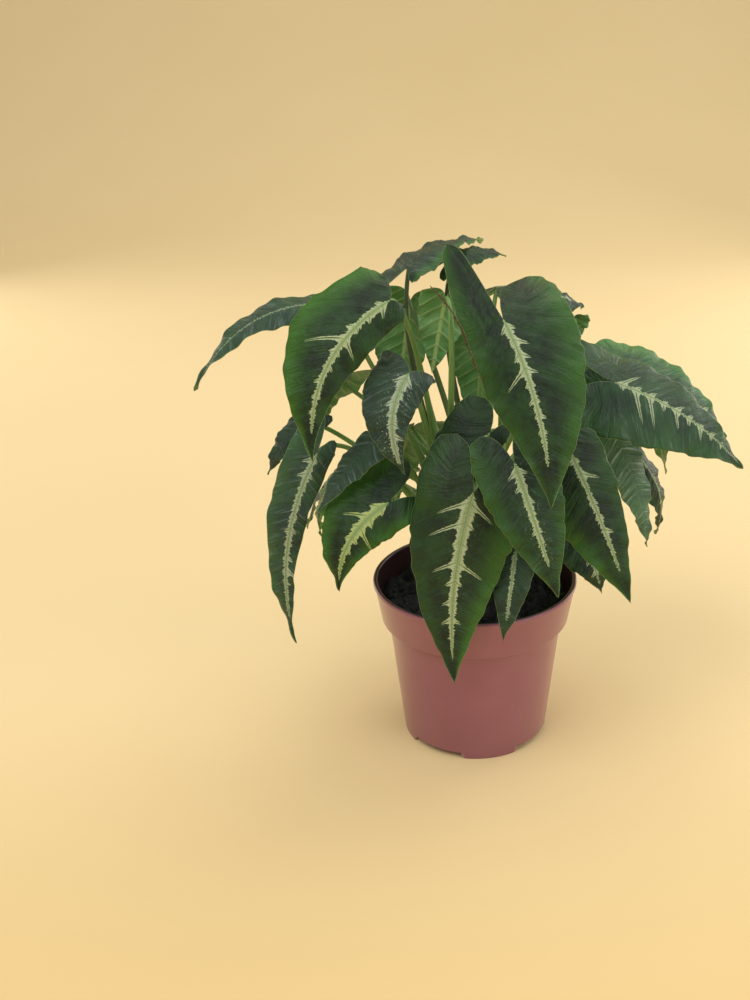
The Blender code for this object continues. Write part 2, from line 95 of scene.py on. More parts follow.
Leaf = namedtuple(
    "Leaf",
    "name plant base tip face width lobes splay arch sweep fold curl twist lobe_bend wave gape shoulder "
    "stripe end taper spurs marks flecks tone blue glow veins quilt",
)


def leaf(name, plant, base, tip, face=(-90, 30), width=24, lobes=(24, 24), splay=(0, 0), arch=8, sweep=0,
         fold=-8, curl=-18, twist=0, lobe_bend=-4, wave=1.2, gape=1.0, shoulder=1.0, stripe=1.4, end=0.85,
         taper=0.35, spurs=5, marks=None, flecks=0.2, tone=0.0, blue=0.15, glow=(0.5, 0.5), veins=8.0,
         quilt=0.45):
    """One row of the leaf table.

    base and tip are the ends of the midrib, face is the compass angle and the lift of the way that the
    upper side looks, width is half the blade or a pair for its left and right halves, and lobes and
    splay give the left and the right lobe's length and how far they stand out. gape opens or closes
    the gap between the lobes, and shoulder narrows the blade beside the stalk, again as
    one number or a pair.

    stripe is half the silver stripe's width, end the share of the blade where it ends and taper how
    pointed it is. marks gives the length of the silver branch on each side vein of the left and of the
    right half, or spurs gives their mean length. flecks is the share of silver specks, tone the green's
    brightness, set leaf by leaf partly for the leaf's own green and partly as painted light and shade,
    blue how much painted grey-blue sheen lies over the blade or, below 0, how yellow its stripe, glow
    the bright green along the left and the right margin, veins the space between side veins, and quilt
    how far the blade swells between them.
    """
    widths = np.broadcast_to(width, 2)
    shoulders = np.broadcast_to(shoulder, 2)
    return Leaf("leaf_" + name, plant, base, tip, face, widths, lobes, splay, arch, sweep, fold, curl,
                twist, lobe_bend, wave, gape, shoulders, stripe, end, taper, spurs, marks, flecks, tone, blue,
                glow, veins, quilt)


# Plants: place of each stem on the soil and its height above it
PLANTS = {
    "left": ((-15.0, -8.0), 34.0),
    "right": ((15.0, -9.0), 34.0),
    "back": ((0.0, 17.0), 36.0),
}

LEAVES = (
    leaf("upper_left", "left", (-43, -36, 276), (-83, -66, 199), face=(-78, 30), width=(34, 17),
         lobes=(6, 4), arch=9, sweep=-14, fold=-12, shoulder=0.6, stripe=2.1, end=0.86,
         marks=((3, 2, 3, 15, 2, 2, 3, 2, 2, 1), (5, 3, 2, 9, 2, 3, 1, 2, 1, 1)), flecks=0.1, tone=0.1,
         glow=(1.0, 0.15), blue=-0.3),
    leaf("far_left", "left", (-70, 0, 264), (-150, -25, 223), face=(-90, 68), width=(16, 12),
         lobes=(16, 16), arch=21, stripe=0.5, end=0.9, spurs=0, flecks=0, blue=0.8, glow=(0, 0), wave=1.2,
         tone=0.8),
    leaf("crest_left", "left", (-36, 8, 282), (5, 60, 285), face=(-90, 85), width=(11, 18), lobes=(4, 14),
         arch=6, stripe=0, spurs=0, flecks=0, blue=0.6, glow=(1.6, 0), tone=0.1, wave=1.6),
    leaf("crest_right", "back", (-12, 34, 281), (18, 46, 279), face=(-60, 70), width=10, lobes=(9, 9),
         arch=4, wave=0.7, stripe=0, spurs=0, flecks=0, glow=(0.4, 0.2), tone=0.3),
    leaf("front_large", "right", (14, -50, 270), (38, -92, 184), face=(-98, 25), width=(28, 35),
         lobes=(54, 20), splay=(-2, 2), arch=8, sweep=6, fold=-12, lobe_bend=-12, gape=0.6,
         shoulder=(0.66, 1.0), stripe=2.1, end=0.79,
         marks=((4, 2, 3, 11, 2, 3, 2, 2, 1), (3, 6, 4, 5, 2, 2, 3, 2, 2)), flecks=0.1, glow=(0.6, 0.8),
         blue=0.1, quilt=0.6),
    leaf("front_centre", "right", (-1, -64, 181), (-11, -73, 71), face=(-95, 10), width=(31, 29),
         lobes=(24, 12), arch=4, sweep=-5, lobe_bend=-7, stripe=3.9, end=0.88, taper=0.7, veins=11,
         marks=((13, 15, 3, 11, 4, 5, 5, 2), (12, 4, 3, 13, 3, 2, 4, 1)), flecks=0.1, glow=(0.25, 1.1)),
    leaf("front_right", "right", (20, -69, 200), (43, -90, 133), face=(-85, 20), width=22, lobes=(18, 18),
         arch=6, stripe=2.2, end=0.76, marks=((5, 4, 2, 2, 3, 2), (4, 2, 3, 1, 2, 2)), flecks=0.4,
         glow=(0.7, 0.7), blue=0.2),
    leaf("low_right", "right", (50, -50, 198), (83, -72, 120), face=(-80, 20), width=(27, 19),
         lobes=(12, 10), arch=7, stripe=1.7, end=0.78, marks=((3, 2, 1, 2, 2, 2), (2, 8, 1, 2, 2, 4, 1)),
         flecks=0.1, glow=(0.8, 0.3), blue=0.1, tone=0.1),
    leaf("centre_small", "left", (-34, -42, 239), (-36, -62, 190), face=(-85, 20), width=(20, 13),
         lobes=(8, 5), splay=(6, 4), sweep=-8, stripe=2.8, end=0.9, spurs=3, flecks=1.0, blue=0.9,
         glow=(0, 0), veins=6, quilt=0.7, tone=-0.2),
    leaf("left_hanging", "left", (-85, -30, 190), (-101, -42, 78), face=(-100, 10), width=(18, 9),
         lobes=(18, 8), sweep=-9, stripe=1.8, end=0.86,
         marks=((5, 5, 2, 1, 2, 3, 2, 2, 2, 1), (2, 3, 2, 2, 2, 3, 2, 3, 8, 2)), flecks=0.2, blue=0.6,
         glow=(0.5, 0), wave=1.8, tone=0.6, quilt=0.6),
    leaf("left_wrinkled", "left", (-52, -32, 199), (-84, -54, 164), face=(-100, 50), width=10, lobes=(8, 8),
         arch=5, stripe=0, spurs=0, flecks=0.2, blue=1.1, glow=(0, 0), quilt=0.8, veins=4, tone=0.3),
    leaf("left_low", "left", (-46, -52, 170), (-73, -62, 122), face=(-95, 25), width=(26, 16),
         lobes=(18, 12), sweep=-7, stripe=3.3, end=0.9, taper=0.6, veins=7,
         marks=((4, 11, 3, 3, 2, 2), (3, 4, 12, 3, 3, 2)), flecks=0.1, glow=(0.9, 0.8), blue=-1.0, tone=0.1),
    leaf("left_sliver", "left", (-79, 5, 159), (-89, 10, 118), face=(-160, 10), width=11, lobes=(10, 10),
         stripe=1.4, spurs=0, flecks=0, glow=(2.0, 2.0), tone=1.2, blue=-0.5),
    leaf("over_rim", "right", (22, -52, 142), (15, -69, 95), face=(-90, 20), width=12, lobes=(10, 10),
         stripe=1.3, end=0.76, spurs=1, flecks=0.1, veins=6, blue=0.5, glow=(0.1, 0.1)),
    leaf("behind_low_right", "right", (52, -12, 135), (73, -22, 99), face=(-60, 20), width=16,
         lobes=(12, 12), stripe=1.2, spurs=2, tone=-0.2, glow=(0.2, 0.6)),
    leaf("right_twisted", "right", (78, 0, 190), (101, 5, 116), face=(-60, 10), width=13, lobes=(10, 10),
         stripe=0, spurs=0, flecks=0.1, tone=3.4, quilt=0.6, veins=5, blue=1.0, glow=(0, 0), wave=1.6),
    leaf("right_behind", "right", (97, 20, 166), (108, 22, 116), face=(-30, 10), width=12, lobes=(10, 10),
         stripe=0.8, spurs=1, glow=(0.2, 0.2)),
    leaf("far_right", "right", (75, -12, 224), (148, -20, 176), face=(-80, 55), width=(31, 26),
         lobes=(16, 32), splay=(2, 7), arch=10, lobe_bend=3, stripe=1.0, end=0.95,
         marks=((2, 14, 13, 3, 8, 3, 6, 2, 3), (10, 3, 4, 2, 5, 3, 2, 3, 2)), flecks=0.1, blue=0.4,
         glow=(0.3, 0.2), tone=0.7),
    leaf("far_right_back", "back", (85, 22, 222), (146, 22, 178), face=(-80, 60), width=(20, 26),
         lobes=(18, 18), arch=9, stripe=0.9, end=0.95, spurs=3, tone=2.4, blue=0.3, glow=(0.5, 0.5),
         quilt=0.6, wave=1.4),
    leaf("right_under", "right", (71, 20, 200), (112, 22, 166), face=(-80, 60), width=9, lobes=(8, 8),
         stripe=0, spurs=0, tone=0.4, glow=(0.4, 1.0)),
    leaf("upper_right", "back", (34, 18, 262), (62, 36, 252), face=(-60, 70), width=15, lobes=(12, 12),
         arch=4, stripe=0.8, spurs=2, blue=0.6, glow=(0.1, 0.5)),
    leaf("upper_right_light", "back", (56, 31, 248), (54, 34, 229), face=(90, 20), width=9, lobes=(5, 5),
         arch=2, stripe=0, spurs=0, tone=0.8, glow=(1.5, 1.5)),
    leaf("centre_dark", "left", (8, -37, 204), (-36, -41, 138), face=(-100, 15), width=(25, 10),
         lobes=(12, 8), stripe=1.6, spurs=3, tone=-0.35, flecks=0.2, glow=(0.1, 0.1)),
    leaf("left_curled", "left", (-92, -6, 200), (-116, -10, 168), face=(-110, 30), width=9, lobes=(8, 8),
         stripe=0, spurs=0, flecks=0.1, blue=0.9, glow=(0, 0), quilt=0.5, veins=4),
    leaf("inner_left", "back", (-37, 45, 254), (-47, 49, 180), face=(90, 20), width=(17, 23), lobes=(10, 12)),
    leaf("inner_top", "left", (-16, 6, 266), (-24, 8, 222), face=(90, 30), width=15, lobes=(7, 7), arch=2),
    leaf("inner_right", "back", (5, 48, 238), (1, 56, 164), face=(90, 20), width=20, lobes=(9, 9)),
    leaf("back_left", "back", (-80, 42, 208), (-116, 62, 144), face=(140, 30), width=22, lobes=(18, 18),
         stripe=2.2, spurs=6),
    leaf("back_right", "back", (46, 62, 228), (70, 92, 156), face=(60, 30), width=24, lobes=(18, 18),
         stripe=2.4, spurs=7),
    leaf("back_centre", "back", (0, 58, 146), (3, 90, 84), face=(90, 20), width=20, lobes=(14, 14),
         stripe=2.4, spurs=7),
    leaf("back_low_left", "back", (-54, 50, 146), (-76, 68, 90), face=(130, 20), width=18, lobes=(12, 12),
         stripe=1.8, spurs=5),
    leaf("back_low_right", "back", (50, 50, 148), (70, 72, 88), face=(50, 20), width=18, lobes=(12, 12),
         stripe=1.8, spurs=5),
    leaf("back_mid_left", "back", (-38, 68, 168), (-52, 92, 102), face=(115, 20), width=20, lobes=(14, 14),
         stripe=2.2, spurs=6, flecks=0.5, blue=0.3),
    leaf("back_mid_right", "back", (34, 72, 184), (42, 89, 108), face=(75, 20), width=18, lobes=(14, 14),
         stripe=2.0, spurs=6),
    leaf("back_crest", "back", (12, 42, 262), (32, 84, 232), face=(80, 60), width=17, lobes=(9, 9),
         stripe=1.6, spurs=4),
    leaf("left_mid_back", "back", (-66, 30, 166), (-102, 34, 114), face=(180, 35), width=15, lobes=(9, 9),
         stripe=1.6, spurs=4, blue=0.4),
    leaf("back_far_right", "back", (88, 56, 196), (120, 72, 134), face=(30, 30), width=19, lobes=(18, 18),
         stripe=2.0, spurs=5, blue=0.3),
    leaf("side_low_left", "back", (-62, 26, 138), (-86, 38, 84), face=(160, 20), width=16, lobes=(12, 12),
         stripe=1.6, spurs=5),
    leaf("side_low_right", "right", (68, 18, 140), (88, 24, 88), face=(15, 20), width=15, lobes=(12, 12),
         stripe=1.6, spurs=5),
)


# Shader writing

class Value:
    """One output socket in a material. Arithmetic with numbers or other sockets adds Math nodes."""

    def __init__(self, finish, socket):
        self.finish = finish
        self.socket = socket

    def math(self, operation, *others):
        inputs = {place: other for place, other in enumerate(others)}
        return self.finish.node("Math", {"operation": operation}, inputs)

    def __add__(self, other):
        return self.math("ADD", self, other)

    def __radd__(self, other):
        return self.math("ADD", other, self)

    def __sub__(self, other):
        return self.math("SUBTRACT", self, other)

    def __rsub__(self, other):
        return self.math("SUBTRACT", other, self)

    def __mul__(self, other):
        return self.math("MULTIPLY", self, other)

    def __rmul__(self, other):
        return self.math("MULTIPLY", other, self)

    def __truediv__(self, other):
        return self.math("DIVIDE", self, other)

    def __rtruediv__(self, other):
        return self.math("DIVIDE", other, self)

    def __pow__(self, other):
        return self.math("POWER", self, other)

    def __neg__(self):
        return self.math("MULTIPLY", self, -1.0)

    def __abs__(self):
        return self.math("ABSOLUTE", self)

    def most(self, other):
        return self.math("MAXIMUM", self, other)

    def least(self, other):
        return self.math("MINIMUM", self, other)

    def sign(self):
        return self.math("SIGN", self)

    def rounded(self):
        return self.math("ROUND", self)

    def step(self, low, high):
        """0 below low and 1 above high with a smooth rise between; low above high gives a smooth fall."""
        return self.finish.node(
            "MapRange",
            {"interpolation_type": "SMOOTHSTEP"},
            {"Value": self, "From Min": low, "From Max": high},
        )


class Finish:
    """A material being written, one node at a time, round its Principled shader."""

    def __init__(self, name, constants=None):
        self.material = bpy.data.materials.new(name)
        self.material.use_nodes = True
        self.tree = self.material.node_tree
        self.shader = self.tree.nodes["Principled BSDF"]
        for socket, value in (constants or {}).items():
            self.shader.inputs[socket].default_value = value

    def node(self, kind, settings=None, inputs=None, output=0):
        """Add a node: its settings or ramp stops first, then the values or links of its sockets."""
        made = self.tree.nodes.new("ShaderNode" + kind)
        for name, value in (settings or {}).items():
            if name == "stops":
                ramp = made.color_ramp
                while len(ramp.elements) < len(value):
                    ramp.elements.new(0.5)
                for element, (place, colour) in zip(ramp.elements, value):
                    element.position = place
                    element.color = (*colour, 1.0)
            else:
                setattr(made, name, value)
        for key, value in (inputs or {}).items():
            if isinstance(value, Value):
                self.tree.links.new(value.socket, made.inputs[key])
            else:
                made.inputs[key].default_value = value
        return Value(self, made.outputs[output])

    def attribute(self, name):
        """The three numbers of a mesh attribute, each as a value."""
        return self.split(self.node("Attribute", {"attribute_name": name}, output="Vector"))

    def split(self, vector):
        made = self.tree.nodes.new("ShaderNodeSeparateXYZ")
        self.tree.links.new(vector.socket, made.inputs[0])
        return [Value(self, output) for output in made.outputs]

    def vector(self, x, y, z):
        return self.node("CombineXYZ", None, {0: x, 1: y, 2: z})

    def place(self):
        """Object coordinates in millimetres."""
        here = self.node("TexCoord", output="Object")
        return self.node("VectorMath", {"operation": "SCALE"}, {0: here, "Scale": 1.0 / MM})

    def noise(self, vector, scale, detail=2.0, roughness=0.5):
        return self.node(
            "TexNoise",
            None,
            {"Vector": vector, "Scale": scale, "Detail": detail, "Roughness": roughness},
        )

    def mix(self, factor, first, second):
        """Colour between two colours."""
        inputs = {}
        for key, value in ((0, factor), (6, first), (7, second)):
            inputs[key] = value if isinstance(value, (Value, float, int)) else (*value, 1.0)
        return self.node("Mix", {"data_type": "RGBA"}, inputs, output=2)

    def shaded(self, colour, factor):
        """A colour made brighter or darker by a value."""
        return self.node("VectorMath", {"operation": "SCALE"}, {0: colour, "Scale": factor})

    def bump(self, height, distance, strength=1.0):
        made = self.node(
            "Bump", None, {"Height": height, "Distance": distance * MM, "Strength": strength}
        )
        self.set("Normal", made)

    def set(self, socket, value):
        self.tree.links.new(value.socket, self.shader.inputs[socket])


def leaf_upper_finish():
    """Dark green upper side with a ragged silver stripe, its branches along side veins and a pale rim."""
    green = Finish("leaf_upper", {"Specular IOR Level": 0.3})
    out, along, share = green.attribute("blade_place")
    vein, rim, edge = green.attribute("blade_veins")
    half, reach, fleck = green.attribute("blade_mark")
    tone, seed, spacing = green.attribute("blade_tone")
    blue, glow, end = green.attribute("blade_cast")
    taper, sunken, crease = green.attribute("blade_shape")
    away = abs(out)
    hand = out.sign()
    flat = green.vector(out, along, seed)
    slant = vein * spacing
    number = vein.rounded()
    gap = abs(vein - number) * spacing * 0.85
    grain = green.noise(flat, 1.6, 3.0, 0.6)
    fray = green.noise(green.vector(slant * 2.2, away * 0.5, seed), 1.0, 2.0, 0.6)

    # Silver stripe: its half width swells slowly along the midrib and is toothed along the side veins
    teeth = green.noise(green.vector(slant * 0.95, away * 0.14, hand * 5.0 + seed), 1.0, 3.0, 0.65)
    swell = green.noise(green.vector(along * 0.16, hand, seed), 1.0, 1.0)
    envelope = share.step(-0.02, 0.09) * (1.0 - share / end).most(0.0) ** taper
    width = half * envelope * (swell * 0.7 + 0.65) + (teeth - 0.5) * 5.0 * envelope.step(0.0, 0.4)
    stripe = (width - away).step(-0.12, 0.18) * half.step(0.1, 0.4) * envelope.step(0.0, 0.12)

    # Silver branches: double lines with the dark vein between them, joined to the stripe by a web
    left_over = (1.0 - away / (reach + 0.01)).most(0.0)
    web = (half * envelope + 2.2 - away).most(0.0) * 0.55 * reach.step(2.0, 9.0) * envelope.step(0.0, 0.3)
    spur_width = left_over ** 0.4 * (fray * 1.9 + 0.25) + web
    spur = (spur_width - gap).step(-0.1, 0.16) * share.step(-0.08, -0.02) * reach.step(0.8, 2.5)
    core = gap.step(0.42, 0.14) * (away - half * envelope).step(0.2, 1.6)
    near = (half * 2.6 - away).step(-2.5, 2.5) * envelope.step(0.0, 0.4)
    specks = green.noise(flat, 0.8, 4.0, 0.75).step(0.58, 0.65) * near * fleck
    silver = stripe.most(spur * (1.0 - core * 0.85)).most(specks * 0.8)

    # Green: clouded, brighter towards some margins, with creases along the side veins, and over it a painted
    # grey-blue sheen in streaks with painted highlights on the wrinkles
    mottle = green.noise(flat, 0.07, 4.0, 0.65)
    patch = green.noise(green.vector(slant * 0.12, away * 0.05, seed + 9.0), 1.0, 2.0, 0.6)
    streak = green.noise(green.vector(slant * 0.55, away * 0.07, seed + 4.0), 1.0, 4.0, 0.6)
    base = green.mix(mottle.step(0.38, 0.62), (0.0042, 0.0155, 0.0055), (0.0120, 0.045, 0.0080))
    margin = edge.step(0.35, 1.0) * (patch * 1.1 + 0.35) * glow
    base = green.mix(margin.least(1.0) * 0.75, base, (0.048, 0.165, 0.012))
    # Painted sheen: the blade is greyed towards blue in streaks, and the streaks' crests get a pale painted
    # highlight
    painted_sheen = blue.most(0.0).least(1.0)
    base = green.mix(painted_sheen * (streak * 0.9 + 0.15), base, (0.042, 0.080, 0.058))
    base = green.mix(painted_sheen * streak.step(0.54, 0.74) * 0.55, base, (0.21, 0.27, 0.24))
    lines = gap.step(0.40, 0.05) * 0.10
    base = green.mix(lines, base, (0.06, 0.16, 0.04))
    # tone scales the green leaf by leaf: partly each leaf's own green, partly painted light and shade
    base = green.shaded(base, (tone * 0.6 + 1.0) * (grain * 0.5 + 0.75))

    pale = green.mix(grain.step(0.35, 0.7), (0.36, 0.44, 0.23), (0.50, 0.57, 0.37))
    pale = green.mix(blue.step(0.1, 0.9) * 0.6, pale, (0.38, 0.43, 0.34))
    pale = green.mix(blue.step(0.0, -1.0) * 0.7, pale, (0.40, 0.50, 0.14))
    middle = (away - width * 0.55).step(0.3, -0.3)
    pale = green.mix(middle * 0.6, pale, (0.20, 0.30, 0.11))
    pale = green.mix(away.step(0.42, 0.12) * 0.55, pale, (0.12, 0.22, 0.06))
    pale = green.mix(gap.step(0.3, 0.05) * away.step(0.5, 1.5) * 0.6, pale, (0.07, 0.15, 0.04))
    colour = green.mix(silver * 0.94, base, pale)
    colour = green.mix(rim.step(0.42, 0.15) * (grain * 0.9 + 0.1), colour, (0.22, 0.33, 0.12))
    green.set("Base Color", colour)
    green.set("Roughness", grain * 0.25 + 0.30 + silver * 0.15)
    fine = green.noise(flat, 1.1, 2.0, 0.5) * 0.25 + grain * 0.2
    puckers = green.noise(green.vector(slant * 0.8, away * 0.22, seed + 2.0), 1.0, 3.0, 0.55)
    green.bump(fine + streak * (painted_sheen * 2.6 + 1.4) + puckers * 1.6 - lines * 4.0, 0.6, 0.8)
    return green.material


def leaf_under_finish():
    """Light green underside with raised veins, paler along the midrib."""
    light = Finish("leaf_under", {"Specular IOR Level": 0.35})
    out, along, share = light.attribute("blade_place")
    vein, rim, edge = light.attribute("blade_veins")
    tone, seed, spacing = light.attribute("blade_tone")
    away = abs(out)
    flat = light.vector(out, along, seed)
    grain = light.noise(flat, 1.2, 3.0, 0.6)
    mottle = light.noise(flat, 0.08, 2.0, 0.5)
    slant = vein * spacing
    fold = light.noise(light.vector(slant * 0.4, away * 0.08, seed), 1.0, 3.0, 0.6)
    gap = abs(vein - vein.rounded()) * spacing * 0.85
    base = light.mix(mottle.step(0.35, 0.7), (0.105, 0.275, 0.085), (0.19, 0.40, 0.165))
    base = light.mix(fold.step(0.45, 0.7) * 0.5, base, (0.055, 0.165, 0.045))
    base = light.mix(gap.step(0.9, 0.25) * 0.6, base, (0.30, 0.46, 0.20))
    base = light.mix(away.step(1.5, 0.7), base, (0.34, 0.50, 0.20))
    base = light.shaded(base, grain * 0.5 + 0.75)
    light.set("Base Color", base)
    light.set("Roughness", grain * 0.2 + 0.42)
    light.bump(grain * 0.25 + gap.step(1.0, 0.2) * 1.1 + fold * 1.2, 0.4, 0.7)
    return light.material


def stalk_finish():
    """Smooth ribbed stalk, light green with paler sheath edges, or dull and dark where its tint is low."""
    stalk = Finish("stalk", {"Specular IOR Level": 0.4})
    angle, along, share = stalk.attribute("stalk_place")
    edge, tint, seed = stalk.attribute("stalk_look")
    ribs = stalk.noise(stalk.vector(angle * 4.0, along * 0.05, seed), 1.0, 3.0, 0.6)
    blotch = stalk.noise(stalk.vector(angle, along * 0.12, seed), 1.0, 3.0, 0.6)
    base = stalk.mix(ribs.step(0.3, 0.7), (0.095, 0.215, 0.045), (0.23, 0.39, 0.12))
    base = stalk.mix(share.step(0.35, 0.0) * 0.6, base, (0.26, 0.38, 0.14))
    base = stalk.mix(edge, base, (0.38, 0.52, 0.24))
    base = stalk.mix(blotch.step(0.60, 0.75) * 0.4, base, (0.14, 0.15, 0.06))
    dull = tint.step(0.9, 0.5) * share.step(0.25, 0.7)
    base = stalk.mix(dull * 0.85, base, (0.045, 0.055, 0.035))
    base = stalk.shaded(base, tint)
    stalk.set("Base Color", base)
    stalk.set("Roughness", ribs * 0.2 + 0.33)
    stalk.bump(ribs, 0.15, 0.6)
    return stalk.material


def dry_finish():
    """Brown papery skin of a withered sheath."""
    dry = Finish("dry_sheath", {"Specular IOR Level": 0.25})
    place = dry.place()
    grain = dry.noise(place, 0.9, 4.0, 0.65)
    base = dry.node(
        "ValToRGB",
        {"stops": [(0.25, (0.030, 0.018, 0.012)), (0.55, (0.14, 0.085, 0.055)), (0.8, (0.42, 0.33, 0.24))]},
        {"Fac": grain},
    )
    dry.set("Base Color", base)
    dry.set("Roughness", grain * 0.3 + 0.5)
    dry.bump(grain, 0.3, 0.7)
    return dry.material


def pot_finish():
    """Moulded mauve-pink plastic: glossy, faintly clouded and scuffed, dark maroon on the lip and inside,
    with painted shade and a painted highlight.
    """
    plastic = Finish("pot_plastic_satin", {
        "Specular IOR Level": 0.5,
        "Coat Weight": 0.5,
        "Coat Roughness": 0.18,
    })
    inside, cut, seam = plastic.attribute("pot_look")
    place = plastic.place()
    x, y, z = plastic.split(place)
    cloud = plastic.noise(place, 0.02, 3.0, 0.5)
    grain = plastic.noise(place, 2.2, 2.0, 0.5)
    scuff = plastic.noise(plastic.vector(x * 0.4, y * 0.4, z * 0.08), 1.0, 5.0, 0.7)
    base = plastic.mix(cloud.step(0.3, 0.7), (0.262, 0.083, 0.122), (0.296, 0.099, 0.142))
    # Painted shade: the pot is darkened towards its bottom
    base = plastic.mix(z.step(60.0, 0.0) * 0.35, base, (0.215, 0.074, 0.080))
    base = plastic.mix(scuff.step(0.62, 0.80) * 0.2, base, (0.40, 0.24, 0.24))
    # Dark maroon on the lip and inside: the pot's own darker inner colour, deepened with painted shade
    base = plastic.mix(inside.least(1.0), base, (0.055, 0.020, 0.024))
    # Painted highlight: the sloping ends of the foot's notches are painted pale
    base = plastic.mix(cut * 0.8, base, (0.48, 0.30, 0.30))
    plastic.set("Base Color", base)
    plastic.set("Roughness", grain * 0.08 + 0.26 + scuff.step(0.5, 0.8) * 0.1)
    plastic.bump(grain * 0.4 + cloud * 2.0, 0.05, 0.5)
    return plastic.material


def compost_finish():
    """Dark damp compost, nearly black, with a little brown fibre and a few pale specks."""
    earth = Finish("compost_crumb", {"Specular IOR Level": 0.3})
    place = earth.place()
    clump = earth.noise(place, 0.35, 4.0, 0.7)
    stretched = earth.node("VectorMath", {"operation": "MULTIPLY"}, {0: place, 1: (0.3, 1.6, 1.0)})
    fibre = earth.noise(stretched, 1.0, 3.0)
    speck = earth.noise(place, 0.8, 1.0)
    base = earth.mix(clump.step(0.3, 0.7), (0.011, 0.011, 0.0135), (0.036, 0.036, 0.041))
    base = earth.mix(fibre.step(0.66, 0.74) * 0.5, base, (0.060, 0.042, 0.030))
    base = earth.mix(speck.step(0.75, 0.79) * 0.6, base, (0.24, 0.23, 0.21))
    earth.set("Base Color", base)
    earth.set("Roughness", clump * 0.3 + 0.55)
    earth.bump(clump + fibre * 0.4, 0.9, 0.7)
    return earth.material


# Shapes

def unit(vector):
    """The vector divided by its own length, along the last axis."""
    return vector / np.linalg.norm(vector, axis=-1, keepdims=True)


def ease(value, low, high):
    """0 below low and 1 above high, with the cubic 3t^2 - 2t^3 between."""
    t = np.clip((value - low) / (high - low), 0.0, 1.0)
    return t * t * (3.0 - 2.0 * t)


def smooth(stations, values, at):
    """Cubic Hermite curve through the values, with tangents from the neighbours on each side."""
    stations = np.asarray(stations, float)
    values = np.asarray(values, float)
    slope = np.gradient(values, stations)
    step = np.clip(np.searchsorted(stations, at, side="right") - 1, 0, len(stations) - 2)
    span = stations[step + 1] - stations[step]
    t = (at - stations[step]) / span
    return (
        values[step] * (2 * t**3 - 3 * t**2 + 1)
        + span * slope[step] * (t**3 - 2 * t**2 + t)
        + values[step + 1] * (3 * t**2 - 2 * t**3)
        + span * slope[step + 1] * (t**3 - t**2)
    )


def new_piece(name, node, points, faces, materials, attributes=None, which=None):
    """A smooth mesh from points in millimetres, riding on the body, in place of a CAD node."""
    mesh = bpy.data.meshes.new(name)
    mesh.from_pydata((np.asarray(points) * MM).tolist(), [], faces)
    for material in materials:
        mesh.materials.append(material)
    mesh.shade_smooth()
    if which is not None:
        mesh.polygons.foreach_set("material_index", np.asarray(which, np.int32))
    for key, values in (attributes or {}).items():
        mesh.attributes.new(key, "FLOAT_VECTOR", "POINT").data.foreach_set(
            "vector", np.asarray(values, np.float32).ravel()
        )
    mesh.update()
    piece = bpy.data.objects.new(name, mesh)
    bpy.context.scene.collection.objects.link(piece)
    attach(piece, "root")
    if node:
        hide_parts(node)
    return piece


def leaf_axes(row):
    """Chord from base to tip, its length, the facing direction square to it, and the side direction."""
    base = np.array(row.base, float)
    chord = np.array(row.tip, float) - base
    length = np.linalg.norm(chord)
    along = chord / length
    compass, lift = np.radians(row.face)
    facing = np.array([
        math.cos(compass) * math.cos(lift),
        math.sin(compass) * math.cos(lift),
        math.sin(lift),
    ])
    facing = unit(facing - facing.dot(along) * along)
    side = np.cross(facing, along)
    return base, along, length, facing, side


def blade_surface(row, hand, distance_out, distance_along, edge):
    """Place points of one half of the flat blade in space, and say which way the upper face looks there.

    The midrib is a parabola that arches off the chord, and runs straight on between the lobes. The
    blade folds along the midrib by one angle, curls more the further out a point lies, turns by the
    twist towards the tip, bends its lobes by the square of the distance behind the stalk, and waves
    at its edge.
    """
    base, along, length, facing, side = leaf_axes(row)
    which = 0 if hand < 0 else 1
    share = distance_along / length
    ahead = np.maximum(share, 0.0)
    behind = np.minimum(share, 0.0)
    rise = 4.0 * (ahead * (1.0 - ahead) + behind)
    slope = np.where(share > 0.0, 4.0 * (1.0 - 2.0 * ahead), 4.0)
    lobe_share = behind * length / row.lobes[which]
    spine = (
        base
        + along * distance_along[..., None]
        + facing * (row.arch * rise + row.lobe_bend * lobe_share**2)[..., None]
        + side * (row.sweep * rise)[..., None]
    )
    tangent = unit(
        along * length
        + facing * (row.arch * slope)[..., None]
        + side * (row.sweep * slope)[..., None]
    )
    turn = np.radians(row.twist) * ahead
    across = unit(side - (tangent @ side)[..., None] * tangent)
    upward = np.cross(tangent, across)
    across = across * np.cos(turn)[..., None] + upward * np.sin(turn)[..., None]
    upward = np.cross(tangent, across)
    out = distance_out + row.splay[which] * lobe_share**2
    bent = np.minimum(out / row.width[which], 1.3)
    tilt = np.radians(row.fold + 0.5 * row.curl * bent)
    lean = np.radians(row.fold + row.curl * bent) * np.minimum(bent / 0.15, 1.0)
    phase = 0.9 * row.tip[0] + 0.7 * row.tip[2] + hand
    wave = row.wave * edge**2 * np.sin(math.tau * 3.2 * share + phase)
    wave = wave + 0.4 * row.wave * edge**4 * np.sin(math.tau * 8.7 * share + 2.0 * phase)
    height = out * np.sin(tilt) + wave
    points = spine + across * (hand * out * np.cos(tilt))[..., None] + upward * height[..., None]
    looks = upward * np.cos(lean)[..., None] - across * (hand * np.sin(lean))[..., None]
    return points, looks


def vein_number(row, out, along):
    """Side veins as whole numbers: ahead of the stalk they leave the midrib at a slant and bend forwards,
    and behind it they fan out from the stalk into the lobe."""
    slant = along - 0.55 * out - 0.006 * out**2
    angle = np.arctan2(out, along) - math.atan2(1.0, 0.55)
    fan = -18.0 * np.maximum(angle, 0.0) * ease(np.hypot(out, along), 0.0, 6.0)
    return np.where(slant > 0.0, slant, np.maximum(slant, fan)) / row.veins + 0.5


